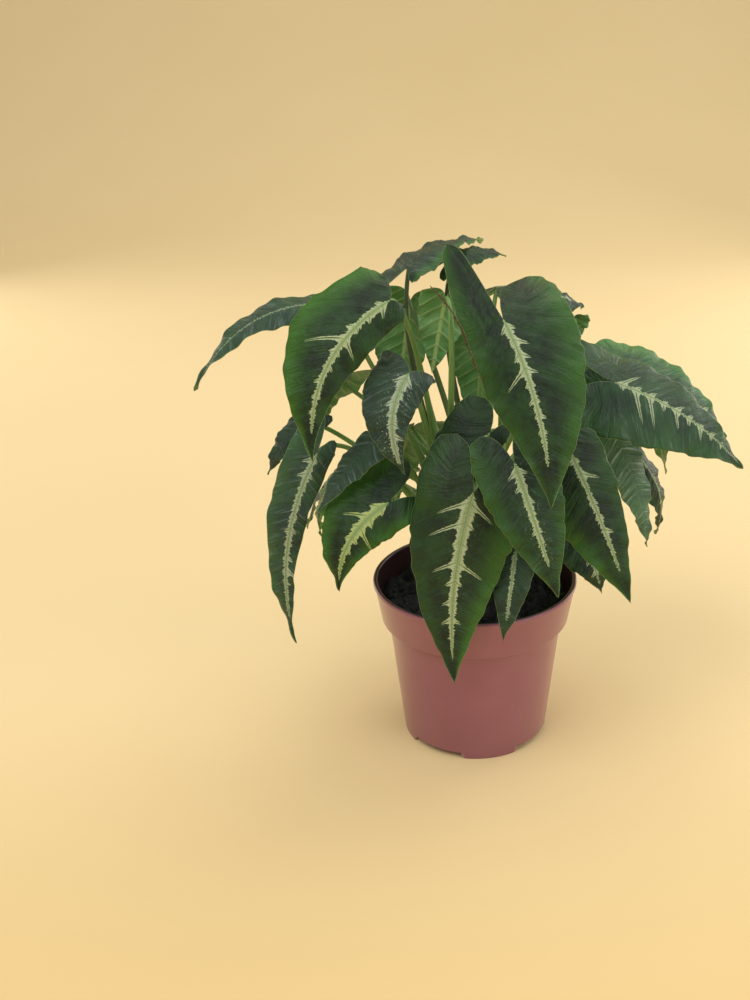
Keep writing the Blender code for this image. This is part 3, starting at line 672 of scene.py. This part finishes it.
def crumpled(slant, out, start):
    """Shallow wrinkles that run along the side veins: a sum of sines of both directions."""
    return (
        0.5 * np.sin(1.9 * slant + 0.10 * out + start)
        + 0.4 * np.sin(1.17 * slant - 0.31 * out + 2.0 * start) * np.sin(0.33 * out + start)
        + 0.35 * np.sin(2.9 * slant + 0.52 * out + 3.0 * start) * np.sin(0.21 * slant + start)
    )


def branch_lengths(row, hand):
    """Length of the silver branch on each side vein: the row's own, or random ones round its mean."""
    which = 0 if hand < 0 else 1
    if row.marks:
        return np.array(row.marks[which], float)
    rng = np.random.default_rng(int(abs(row.tip[0]) * 11 + abs(row.tip[2]) + which))
    return row.spurs * rng.choice((0.3, 0.5, 1.0, 1.6), 14)


def stacked(first, second, third, shape=None):
    """Three numbers or arrays as one array of vectors."""
    shape = shape or np.shape(first)
    return np.stack([np.broadcast_to(value, shape) for value in (first, second, third)], axis=-1)


def half_blade(row, hand, stations, across):
    """One half of the blade: upper and lower points and what the finish needs to know at each of them.

    The half is lofted from its inner edge and midrib to its margin. Between side veins the sheet swells
    by the square of a sine, it has a groove over the midrib and a rib under it that thins towards
    the tip, and it is thinner at its rim.
    """
    length = leaf_axes(row)[2]
    which = 0 if hand < 0 else 1
    lobe = row.lobes[which]
    width = row.width[which]
    at = np.linspace(0.0, 1.0, stations + 1)
    in_lobe = np.minimum(at, SINUS_SHARE)
    on_midrib = np.maximum(at - SINUS_SHARE, 0.0) / (1.0 - SINUS_SHARE)
    sinus_out = np.array(SINUS_OUT) * (row.shoulder[which], row.gape, row.gape, 1.0)
    inner_out = width * smooth(SINUS_STATIONS, sinus_out, in_lobe)
    inner_along = lobe * smooth(SINUS_STATIONS, SINUS_ALONG, in_lobe) + length * on_midrib
    ripple = 1.0 + 0.018 * np.sin(at * 43.0 + 2.0 * row.tip[0]) + 0.014 * np.sin(at * 89.0 + row.tip[2])
    narrowed = row.shoulder[which] + (1.0 - row.shoulder[which]) * np.clip(at / 0.5, 0.0, 1.0) ** 1.5
    outer_out = width * narrowed * smooth(MARGIN_STATIONS, MARGIN_OUT, at) * ripple
    margin_along = smooth(MARGIN_STATIONS, MARGIN_ALONG, at)
    outer_along = lobe * np.minimum(margin_along, 0.0) + length * np.maximum(margin_along, 0.0)
    step = np.linspace(0.0, 1.0, across + 1) ** 1.3
    out = inner_out[:, None] + (outer_out - inner_out)[:, None] * step
    along = inner_along[:, None] + (outer_along - inner_along)[:, None] * step
    edge = np.broadcast_to(step, out.shape)
    points, looks = blade_surface(row, hand, out, along, edge)

    reach = np.hypot(outer_out - inner_out, outer_along - inner_along)
    rim = reach[:, None] * (1.0 - step)
    on_lobe = (at < SINUS_SHARE)[:, None]
    rim = np.where(on_lobe, np.minimum(rim, reach[:, None] * step), rim)
    number = vein_number(row, out, along)
    swell = np.sin(math.pi * number) ** 2
    share = along / length
    quiet = ease(out, 0.0, 4.0) * ease(rim, 0.0, 4.0) * ease(share, 1.0, 0.85)
    groove = 0.3 * np.exp(-((out / 0.8) ** 2)) * ease(share, -0.02, 0.05) * ease(share, 1.0, 0.8)
    wrinkle = crumpled(number * row.veins, out, abs(row.tip[0]) + hand)
    relief = row.quilt * (swell - 0.5 + 0.7 * wrinkle) * quiet
    lift = relief - groove
    rib = 1.1 * np.exp(-((out / 1.0) ** 2)) * ease(share, -0.02, 0.02) * np.clip(1.0 - share, 0.0, 1.0) ** 0.8
    thickness = RIM_THICKNESS + 0.15 * ease(rim, 0.0, 3.0)
    upper = points + looks * lift[..., None]
    lower = points - looks * (thickness + rib - relief)[..., None]
    lengths = branch_lengths(row, hand)
    reach_here = np.interp(number, np.arange(1, len(lengths) + 1), 1.25 * lengths, right=0.0)
    reach_here = reach_here * ease(share, row.end, row.end - 0.1) * ease(number, 0.2, 0.5)
    seed = (abs(row.tip[0]) * 7 + abs(row.tip[2]) * 3) % 97
    attributes = {
        "blade_place": stacked(hand * out, along, share),
        "blade_veins": stacked(number, rim, edge),
        "blade_mark": stacked(row.stripe, reach_here, row.flecks, shape=out.shape),
        "blade_tone": stacked(row.tone, seed, row.veins, shape=out.shape),
        "blade_cast": stacked(row.blue, row.glow[which], row.end, shape=out.shape),
        "blade_shape": stacked(row.taper, groove, swell, shape=out.shape),
    }
    return upper, lower, attributes


def blade_faces(stations, across):
    """Quads of both halves, which share the midrib and the tip, above and below, and the wall at the rim."""
    first_shared = round(SINUS_SHARE * stations)
    count = (stations + 1) * (across + 1)
    number = np.arange(2 * count).reshape(2, stations + 1, across + 1)
    number[:, 0, :] = number[:, 0, :1]
    number[1, first_shared:, 0] = number[0, first_shared:, 0]
    number[:, stations, :] = number[0, stations, 0]
    quads = []
    for half in range(2):
        grid = number[half]
        faces = np.stack([grid[:-1, :-1], grid[:-1, 1:], grid[1:, 1:], grid[1:, :-1]], axis=-1).reshape(-1, 4)
        quads.append(faces[:, ::-1] if half == 0 else faces)
    quads = np.concatenate(quads)
    loops = []
    for half in range(2):
        inner = number[half, first_shared:0:-1, 0]
        loops.append(np.concatenate([inner, number[half, :, across]]))
    rim = np.concatenate([loops[0], loops[1][-2:0:-1]])
    offset = 2 * count
    after = np.roll(rim, -1)
    wall = np.stack([rim, after, after + offset, rim + offset], axis=-1)
    return quads, wall, offset


def whole_faces(quads):
    """Face lists with the repeated corners of folded quads left out."""
    return [list(dict.fromkeys(quad)) for quad in quads.tolist()]


def make_leaf(row, upper_finish, under_finish):
    """One blade as a closed sheet, its upper side and rim in one finish and its underside in another."""
    stations, across = LARGE_GRID if leaf_axes(row)[2] > LARGE_LEAF else SMALL_GRID
    halves = [half_blade(row, hand, stations, across) for hand in (1.0, -1.0)]
    upper = np.concatenate([half[0].reshape(-1, 3) for half in halves])
    lower = np.concatenate([half[1].reshape(-1, 3) for half in halves])
    quads, wall, offset = blade_faces(stations, across)
    under = quads[:, ::-1] + offset
    points = np.concatenate([upper, lower])
    corners = np.concatenate([quads, under, wall])
    used, corners = np.unique(corners, return_inverse=True)
    corners = corners.reshape(-1, 4)
    attributes = {}
    for key in halves[0][2]:
        one = np.concatenate([half[2][key].reshape(-1, 3) for half in halves])
        attributes[key] = np.concatenate([one, one])[used]
    which = np.concatenate([np.zeros(len(quads)), np.ones(len(under)), np.zeros(len(wall))])
    return new_piece(
        row.name.replace("leaf_", "blade_"), row.name, points[used], whole_faces(corners),
        [upper_finish, under_finish], attributes, which,
    )


def bezier(points, steps):
    """Cubic Bezier curve through its two end points, shaped by the two between them."""
    t = np.linspace(0.0, 1.0, steps + 1)[:, None]
    first, second, third, last = (np.asarray(point, float) for point in points)
    return (
        first * (1 - t) ** 3 + second * 3 * t * (1 - t) ** 2 + third * 3 * t**2 * (1 - t) + last * t**3
    )


def ring_directions(path, towards):
    """Two directions square to the path at each step, carried along it without twisting."""
    tangent = unit(np.gradient(path, axis=0))
    across = np.empty_like(path)
    hold = np.asarray(towards, float)
    for step, direction in enumerate(tangent):
        hold = unit(hold - hold.dot(direction) * direction)
        across[step] = hold
    return across, np.cross(tangent, across)


def stalk_surface(path, towards, radius):
    """Closed tube along the path, where radius is an array of steps by angles; angle 0 looks towards."""
    steps, sides = radius.shape
    across, other = ring_directions(path, towards)
    angle = np.linspace(0.0, math.tau, sides, endpoint=False)
    rings = path[:, None] + radius[..., None] * (
        np.cos(angle)[None, :, None] * across[:, None] + np.sin(angle)[None, :, None] * other[:, None]
    )
    points = np.concatenate([rings.reshape(-1, 3), path[:1], path[-1:]])
    number = np.arange(steps * sides).reshape(steps, sides)
    right = np.roll(number, -1, axis=1)
    quads = np.stack([number[:-1], right[:-1], right[1:], number[1:]], axis=-1).reshape(-1, 4)
    first = np.full(sides, steps * sides)
    caps = np.concatenate([
        np.stack([right[0], number[0], first], axis=-1),
        np.stack([number[-1], right[-1], first + 1], axis=-1),
    ])
    return points, quads.tolist() + caps.tolist()


def stalk_path(row, steps):
    """Curve from the stem up the plant to the leaf's base, then over, outwards and on into the midrib."""
    base, along, length, facing, side = leaf_axes(row)
    heading = unit(along * length + facing * 4.0 * row.arch + side * 4.0 * row.sweep)
    looks = unit(facing - facing.dot(heading) * heading)
    (stem_x, stem_y), stem_height = PLANTS[row.plant]
    reach = base - np.array([stem_x, stem_y, SOIL_HEIGHT])
    start = np.array([stem_x, stem_y, SOIL_HEIGHT + stem_height * (0.35 + 0.5 * reach[2] / 200.0)])
    arrive = unit(0.55 * heading + 0.8 * looks)
    radius = STALK_TIP_RADIUS * math.sqrt(1.0 - arrive.dot(looks) ** 2)
    end = base - looks * (BLADE_THICKNESS + BLADE_GAP + radius)
    span = np.linalg.norm(end - start)
    first = start + np.array([0.12 * reach[0], 0.12 * reach[1], 0.45 * span])
    second = end - arrive * 0.3 * span
    curve = bezier((start, first, second, end), steps)
    last = base + heading * 5.0 - looks * 1.0
    bend = bezier((end, end + arrive * 1.2, last - heading * 2.5, last), 5)[1:]
    return np.concatenate([curve, bend])


def make_plant(plant, finish):
    """A short ringed stem and its stalks, each grooved on its inner side and winged by a sheath below.

    The stalk's radius shrinks along it, with a groove at angle 0 and, over its lower part, a wing on
    each side of the groove, each a Gauss bump in the angle.
    """
    (stem_x, stem_y), height = PLANTS[plant]
    parts = []
    levels = np.linspace(STEM_FOOT, SOIL_HEIGHT + height, 60)
    share = (levels - STEM_FOOT) / (levels[-1] - STEM_FOOT)
    ringed = STEM_RADIUS * (1.0 - 0.25 * ease(share, 0.6, 1.0)) + 0.35 * np.maximum(np.cos(share * 44.0), 0.7)
    path = np.stack([np.full(60, stem_x), np.full(60, stem_y), levels], axis=1)
    radius = np.repeat(ringed[:, None], 20, axis=1)
    parts.append((path, (1.0, 0.0, 0.0), radius, 0.75, 3.0))
    rows = [row for row in LEAVES if row.plant == plant]
    for row in rows:
        path = stalk_path(row, 44)
        share = np.linspace(0.0, 1.0, len(path))
        angle = np.linspace(-math.pi, math.pi, 16, endpoint=False)
        angle = np.roll(angle, -8)
        thick = STALK_ROOT_RADIUS + (STALK_TIP_RADIUS - STALK_ROOT_RADIUS) * share
        thick = thick * (1.0 - 0.55 * ease(share, 0.93, 1.0))
        groove = 0.22 * np.exp(-((angle / 0.5) ** 2))
        wing = np.exp(-(((np.abs(angle) - 0.85) / 0.3) ** 2))
        sheath = 0.9 * ease(share, 0.42, 0.30)
        radius = thick[:, None] * (1.0 - groove[None, :] + wing[None, :] * sheath[:, None])
        inward = np.array([-(row.base[0] - stem_x), -(row.base[1] - stem_y), 8.0])
        seed = (abs(row.tip[0]) * 5 + abs(row.tip[2])) % 83
        tint = DULL_STALKS.get(row.name, 0.9 + 0.25 * ((seed * 7) % 10) / 10.0)
        parts.append((path, inward, radius, tint, seed))
    points, faces, place, look = [], [], [], []
    offset = 0
    for path, towards, radius, tint, seed in parts:
        part_points, part_faces = stalk_surface(path, towards, radius)
        steps, sides = radius.shape
        distance = np.concatenate([[0.0], np.cumsum(np.linalg.norm(np.diff(path, axis=0), axis=1))])
        angle = np.linspace(0.0, math.tau, sides, endpoint=False)
        along = np.repeat(distance, sides)
        part_place = np.stack([np.tile(np.cos(angle) * 2.0, steps), along, along / distance[-1]], axis=-1)
        round_edge = radius / radius.mean(axis=1, keepdims=True)
        winged = np.clip((round_edge - 1.25) / 0.25, 0.0, 1.0).reshape(-1)
        part_look = np.stack([winged, np.full(len(winged), tint), np.full(len(winged), seed)], axis=-1)
        points.append(part_points)
        place.append(np.concatenate([part_place, part_place[:1], part_place[-1:]]))
        look.append(np.concatenate([part_look, part_look[:1], part_look[-1:]]))
        faces += [[corner + offset for corner in face] for face in part_faces]
        offset += len(part_points)
    return new_piece(
        "stalks_" + plant, "stem_" + plant, np.concatenate(points), faces, [finish],
        {"stalk_place": np.concatenate(place), "stalk_look": np.concatenate(look)},
    )


def make_dry_sheath(finish):
    """A withered brown sheath off the stalk of the large leaf: a thin trough carried along a path.

    Across, the trough is an arc whose width tapers to both ends; along, it curls and its edges waver.
    """
    steps, sides = 60, 9
    path = bezier(DRY_SHEATH, steps)
    across, other = ring_directions(path, (1.0, -0.4, 0.0))
    share = np.linspace(0.0, 1.0, steps + 1)
    half = 2.0 * np.sin(math.pi * share**0.7) ** 0.7 * (1.0 - 0.35 * share) + 0.15
    half = half * (1.0 + 0.18 * np.sin(share * 37.0) + 0.1 * np.sin(share * 71.0))
    turn = 0.6 + 2.2 * share
    span = np.linspace(-1.0, 1.0, sides)
    flat = half[:, None] * span[None, :]
    sag = 0.45 * half[:, None] * (span[None, :] ** 2 - 0.3) + 0.12 * np.sin(9.0 * share)[:, None] * span
    first = np.cos(turn)[:, None] * flat - np.sin(turn)[:, None] * sag
    second = np.sin(turn)[:, None] * flat + np.cos(turn)[:, None] * sag
    sheet = path[:, None] + first[..., None] * across[:, None] + second[..., None] * other[:, None]
    normal = unit(np.cos(turn)[:, None] * other - np.sin(turn)[:, None] * across)[:, None]
    points = np.concatenate([(sheet + 0.15 * normal).reshape(-1, 3), (sheet - 0.15 * normal).reshape(-1, 3)])
    number = np.arange((steps + 1) * sides).reshape(steps + 1, sides)
    corners = [number[:-1, :-1], number[:-1, 1:], number[1:, 1:], number[1:, :-1]]
    quads = np.stack(corners, axis=-1).reshape(-1, 4)
    edge = np.concatenate([number[0, :-1], number[:-1, -1], number[-1, :0:-1], number[:0:-1, 0]])
    after = np.roll(edge, -1)
    count = number.size
    wall = np.stack([after, edge, edge + count, after + count], axis=-1)
    faces = np.concatenate([quads, quads[:, ::-1] + count, wall])
    return new_piece("dry_sheath", None, points, faces.tolist(), [finish])


def turned(profile, angles):
    """Rings of a closed profile turned about the Z axis, as points and quads; the profile runs once round."""
    profile = np.asarray(profile, float)
    rings = np.stack([
        np.outer(profile[:, 0], np.cos(angles)),
        np.outer(profile[:, 0], np.sin(angles)),
        np.outer(profile[:, 1], np.ones_like(angles)),
    ], axis=-1)
    number = np.arange(rings.shape[0] * rings.shape[1]).reshape(rings.shape[:2])
    right = np.roll(number, -1, axis=1)
    quads = np.stack([number[:-1], right[:-1], right[1:], number[1:]], axis=-1).reshape(-1, 4)
    return rings, quads


def rounded_profile(corners, steps=4):
    """A profile whose corners (radius, height, rounding) are replaced by short Bezier arcs."""
    corners = np.asarray(corners, float)
    places = corners[:, :2]
    path = [places[0]]
    for index in range(1, len(corners) - 1):
        here, before, after = places[index], places[index - 1], places[index + 1]
        cut = corners[index, 2]
        if cut == 0.0:
            path.append(here)
            continue
        start = here + unit(before - here) * min(cut, 0.45 * np.linalg.norm(before - here))
        end = here + unit(after - here) * min(cut, 0.45 * np.linalg.norm(after - here))
        for t in np.linspace(0.0, 1.0, steps + 1):
            path.append(start * (1 - t) ** 2 + here * 2 * t * (1 - t) + end * t**2)
    path.append(places[-1])
    return np.array(path)


def make_pot(finish):
    """Thin moulded pot: the rounded profile turned about the axis, and the foot lifted at its notches."""
    inner_foot = FOOT_RADIUS - FOOT_WIDTH
    lip_base = POT_HEIGHT - LIP_HEIGHT
    profile = rounded_profile((
        (0.01, FLOOR_HEIGHT, 0),
        (inner_foot - 1.5, FLOOR_HEIGHT, 0.6),
        (inner_foot, 0.0, 0.4),
        (FOOT_RADIUS + 0.1, 0.0, 0.7),
        (FOOT_RADIUS + 0.6, FLOOR_HEIGHT, 0.5),
        (0.5 * (FOOT_RADIUS + 0.6 + NECK_RADIUS), 0.5 * (FLOOR_HEIGHT + COLLAR_BOTTOM), 0),
        (NECK_RADIUS, COLLAR_BOTTOM, 0.5),
        (COLLAR_RADIUS, COLLAR_BOTTOM, 0.7),
        (RIM_RADIUS - 0.9, lip_base, 0.5),
        (RIM_RADIUS - 0.1, lip_base + 0.3, 0.4),
        (RIM_RADIUS, POT_HEIGHT - 0.6, 0.8),
        (RIM_RADIUS - 1.4, POT_HEIGHT, 0.9),
        (RIM_RADIUS - 2.7, POT_HEIGHT - 0.4, 0.8),
        (RIM_RADIUS - 2.9, lip_base, 0.5),
        (COLLAR_RADIUS - WALL, COLLAR_BOTTOM + WALL, 0.5),
        (NECK_RADIUS - WALL, COLLAR_BOTTOM + WALL, 0.5),
        (FOOT_RADIUS - WALL, FLOOR_HEIGHT + WALL, 0.5),
        (0.01, FLOOR_HEIGHT + WALL, 0),
    ))
    pitch = 360.0 / FEET
    degrees = np.arange(0.0, 360.0, 1.0)
    local = np.abs((degrees - FOOT_CENTRE_DEG + pitch / 2) % pitch - pitch / 2)
    raised = ease(local, FOOT_HALF_DEG, FOOT_HALF_DEG + NOTCH_RAMP_DEG)
    rings, quads = turned(profile, np.radians(degrees))
    low = profile[:, 1] < NOTCH_HEIGHT
    lifted = np.maximum(rings[..., 2], raised[None, :] * NOTCH_HEIGHT)
    rings[..., 2] = np.where(low[:, None], lifted, rings[..., 2])
    number = np.arange(len(profile))
    top = int(np.argmax((profile[:, 0] > RIM_RADIUS - 1.3) & (profile[:, 1] > POT_HEIGHT - 0.25)))
    # faces from the lip's crest inwards, which the finish paints dark maroon: inner colour deepened with
    # painted shade
    inside = np.where(number >= top, 1.0, 0.0)
    inside = np.where(profile[:, 0] < 0.02, 1.0, inside)
    inside = np.broadcast_to(inside[:, None], rings.shape[:2])
    # the notch ramps, which the finish paints with a pale highlight
    painted_notch_highlight = np.broadcast_to((raised * (1.0 - raised) * 4.0)[None, :], rings.shape[:2]) * low[:, None]
    look = stacked(inside, painted_notch_highlight, np.zeros_like(painted_notch_highlight))
    return new_piece(
        "pot_shell", "pot", rings.reshape(-1, 3), quads.tolist(), [finish], {"pot_look": look}
    )


def crumbled(x, y, sizes, seed):
    """Sum of plane waves in random directions, of the given wavelengths and a height in keeping."""
    rng = np.random.default_rng(seed)
    total = np.zeros_like(x)
    for size in sizes:
        for turn in rng.uniform(0.0, math.tau, 5):
            phase = rng.uniform(0.0, math.tau)
            total += 0.06 * size * np.sin((x * math.cos(turn) + y * math.sin(turn)) * math.tau / size + phase)
    return total


def make_soil(finish):
    """Compost: a domed disc whose height is roughened by plane waves, with crumbs lying on it."""
    angles = np.linspace(0.0, math.tau, 180, endpoint=False)
    top = 57.2
    radii = np.concatenate([np.linspace(0.02, top, 90), [52.5, 20.0, 0.02]])
    heights = np.concatenate([SOIL_HEIGHT + SOIL_DOME * (1.0 - (radii[:90] / top) ** 2), [78.5, 78.5, 78.5]])
    radii[:90] = np.minimum(radii[:90], 54.0 + 0.19 * (heights[:90] - 77.0))
    rings, quads = turned(np.stack([radii, heights], axis=1), angles)
    rough = crumbled(rings[:90, :, 0], rings[:90, :, 1], SOIL_WAVES, 5)
    calm = ease(np.linspace(0.0, 1.0, 90), 1.0, 0.93) * 0.6 + 0.4
    rings[:90, :, 2] += rough * calm[:, None]
    number = np.arange(93 * 180).reshape(93, 180)
    quads = quads[:, ::-1]
    points = [rings.reshape(-1, 3)]
    faces = quads.tolist()
    faces.append(number[0].tolist())
    faces.append(number[-1, ::-1].tolist())
    rng = np.random.default_rng(11)
    golden = (1.0 + math.sqrt(5.0)) / 2.0
    ball = unit(np.array([
        (-1, golden, 0), (1, golden, 0), (-1, -golden, 0), (1, -golden, 0), (0, -1, golden), (0, 1, golden),
        (0, -1, -golden), (0, 1, -golden), (golden, 0, -1), (golden, 0, 1), (-golden, 0, -1), (-golden, 0, 1),
    ], float))
    ball_faces = np.array([
        (0, 11, 5), (0, 5, 1), (0, 1, 7), (0, 7, 10), (0, 10, 11), (1, 5, 9), (5, 11, 4), (11, 10, 2),
        (10, 7, 6), (7, 1, 8), (3, 9, 4), (3, 4, 2), (3, 2, 6), (3, 6, 8), (3, 8, 9), (4, 9, 5), (2, 4, 11),
        (6, 2, 10), (8, 6, 7), (9, 8, 1),
    ])
    count = 700
    away = 49.0 * np.sqrt(rng.uniform(0.0, 1.0, count))
    turn = rng.uniform(0.0, math.tau, count)
    x, y = away * np.cos(turn), away * np.sin(turn)
    size = rng.uniform(0.5, 1.0, count) ** 3 * 1.6 + 0.3
    z = SOIL_HEIGHT + SOIL_DOME * (1.0 - (away / top) ** 2) + crumbled(x, y, SOIL_WAVES, 5)
    lumps = ball[None] * (1.0 + rng.uniform(-0.35, 0.35, (count, 12, 1)))
    lumps = lumps * size[:, None, None] * rng.uniform(0.6, 1.2, (count, 1, 3))
    lumps = lumps + np.stack([x, y, z], axis=-1)[:, None]
    first = len(points[0])
    points.append(lumps.reshape(-1, 3))
    lump_faces = ball_faces[None] + first + 12 * np.arange(count)[:, None, None]
    faces += lump_faces.reshape(-1, 3).tolist()
    return new_piece("compost", "soil", np.concatenate(points), faces, [finish])


def make_stage():
    """Pale floor that sweeps up behind the plant, soft lamps and the camera of the photograph."""
    sweep = np.radians(np.linspace(0.0, 90.0, 16))
    line = np.concatenate([
        [[-4.0, 0.0], [1.2, 0.0]],
        np.stack([1.2 + 1.2 * np.sin(sweep[1:]), 1.2 - 1.2 * np.cos(sweep[1:])], axis=1),
        [[2.4, 5.0]],
    ])
    sides = np.array([-5.0, 5.0])
    points = [(x, y, z) for y, z in line.tolist() for x in sides]
    faces = [(2 * k, 2 * k + 1, 2 * k + 3, 2 * k + 2) for k in range(len(line) - 1)]
    mesh = bpy.data.meshes.new("floor")
    mesh.from_pydata(points, [], faces)
    mesh.shade_smooth()
    paper = Finish("pale_paper", {"Roughness": 0.9})
    place = paper.place()
    grain = paper.noise(place, 0.004, 2.0)
    y = paper.split(place)[1]
    base = paper.mix(grain, (0.79, 0.62, 0.33), (0.83, 0.66, 0.37))
    # Painted shade: the floor is painted darker and more orange towards the front, where the light falls off
    paper.set("Base Color", paper.mix(y.step(100.0, -450.0), base, (0.75, 0.53, 0.22)))
    mesh.materials.append(paper.material)
    floor = bpy.data.objects.new("floor", mesh)
    bpy.context.scene.collection.objects.link(floor)

    world = bpy.data.worlds.new("studio")
    world.use_nodes = True
    world.node_tree.nodes["Background"].inputs["Color"].default_value = (0.95, 0.93, 0.88, 1.0)
    world.node_tree.nodes["Background"].inputs["Strength"].default_value = 0.55
    bpy.context.scene.world = world
    lamps = (
        ("key", (-0.6, -0.8, 1.5), 1.0, 12.0, (1.0, 0.97, 0.92)),
        ("fill", (1.2, -0.8, 0.8), 1.2, 7.0, (1.0, 0.98, 0.96)),
        ("top", (0.5, 0.8, 1.7), 1.6, 13.0, (1.0, 0.99, 0.96)),
        ("left_rear", (-0.9, 0.8, 0.35), 0.6, 2.0, (1.0, 0.99, 0.98)),
        ("right_rear", (0.9, 0.8, 0.35), 0.8, 5.0, (1.0, 0.99, 0.98)),
    )
    for name, place, size, power, colour in lamps:
        lamp = bpy.data.lights.new(name, "AREA")
        lamp.size = size
        lamp.energy = power
        lamp.color = colour
        holder = bpy.data.objects.new(name, lamp)
        bpy.context.scene.collection.objects.link(holder)
        holder.location = place
        aim = np.array([0.0, 0.0, 0.16]) - np.array(place)
        flat = math.hypot(aim[0], aim[1])
        holder.rotation_euler = (math.atan2(flat, -aim[2]), 0.0, math.atan2(-aim[0], aim[1]))

    lens = bpy.data.cameras.new("camera")
    lens.lens = 46.8
    lens.sensor_width = 36.0
    lens.shift_x = -0.1
    camera = bpy.data.objects.new("camera", lens)
    camera.location = (0.0, -0.682, 0.452)
    camera.rotation_euler = (math.radians(66.0), 0.0, 0.0)
    bpy.context.scene.collection.objects.link(camera)
    bpy.context.scene.camera = camera
    bpy.context.scene.view_settings.view_transform = "Standard"


make_pot(pot_finish())
make_soil(compost_finish())
stalk = stalk_finish()
for plant in PLANTS:
    make_plant(plant, stalk)
make_dry_sheath(dry_finish())
upper = leaf_upper_finish()
under = leaf_under_finish()
for row in LEAVES:
    make_leaf(row, upper, under)
make_stage()
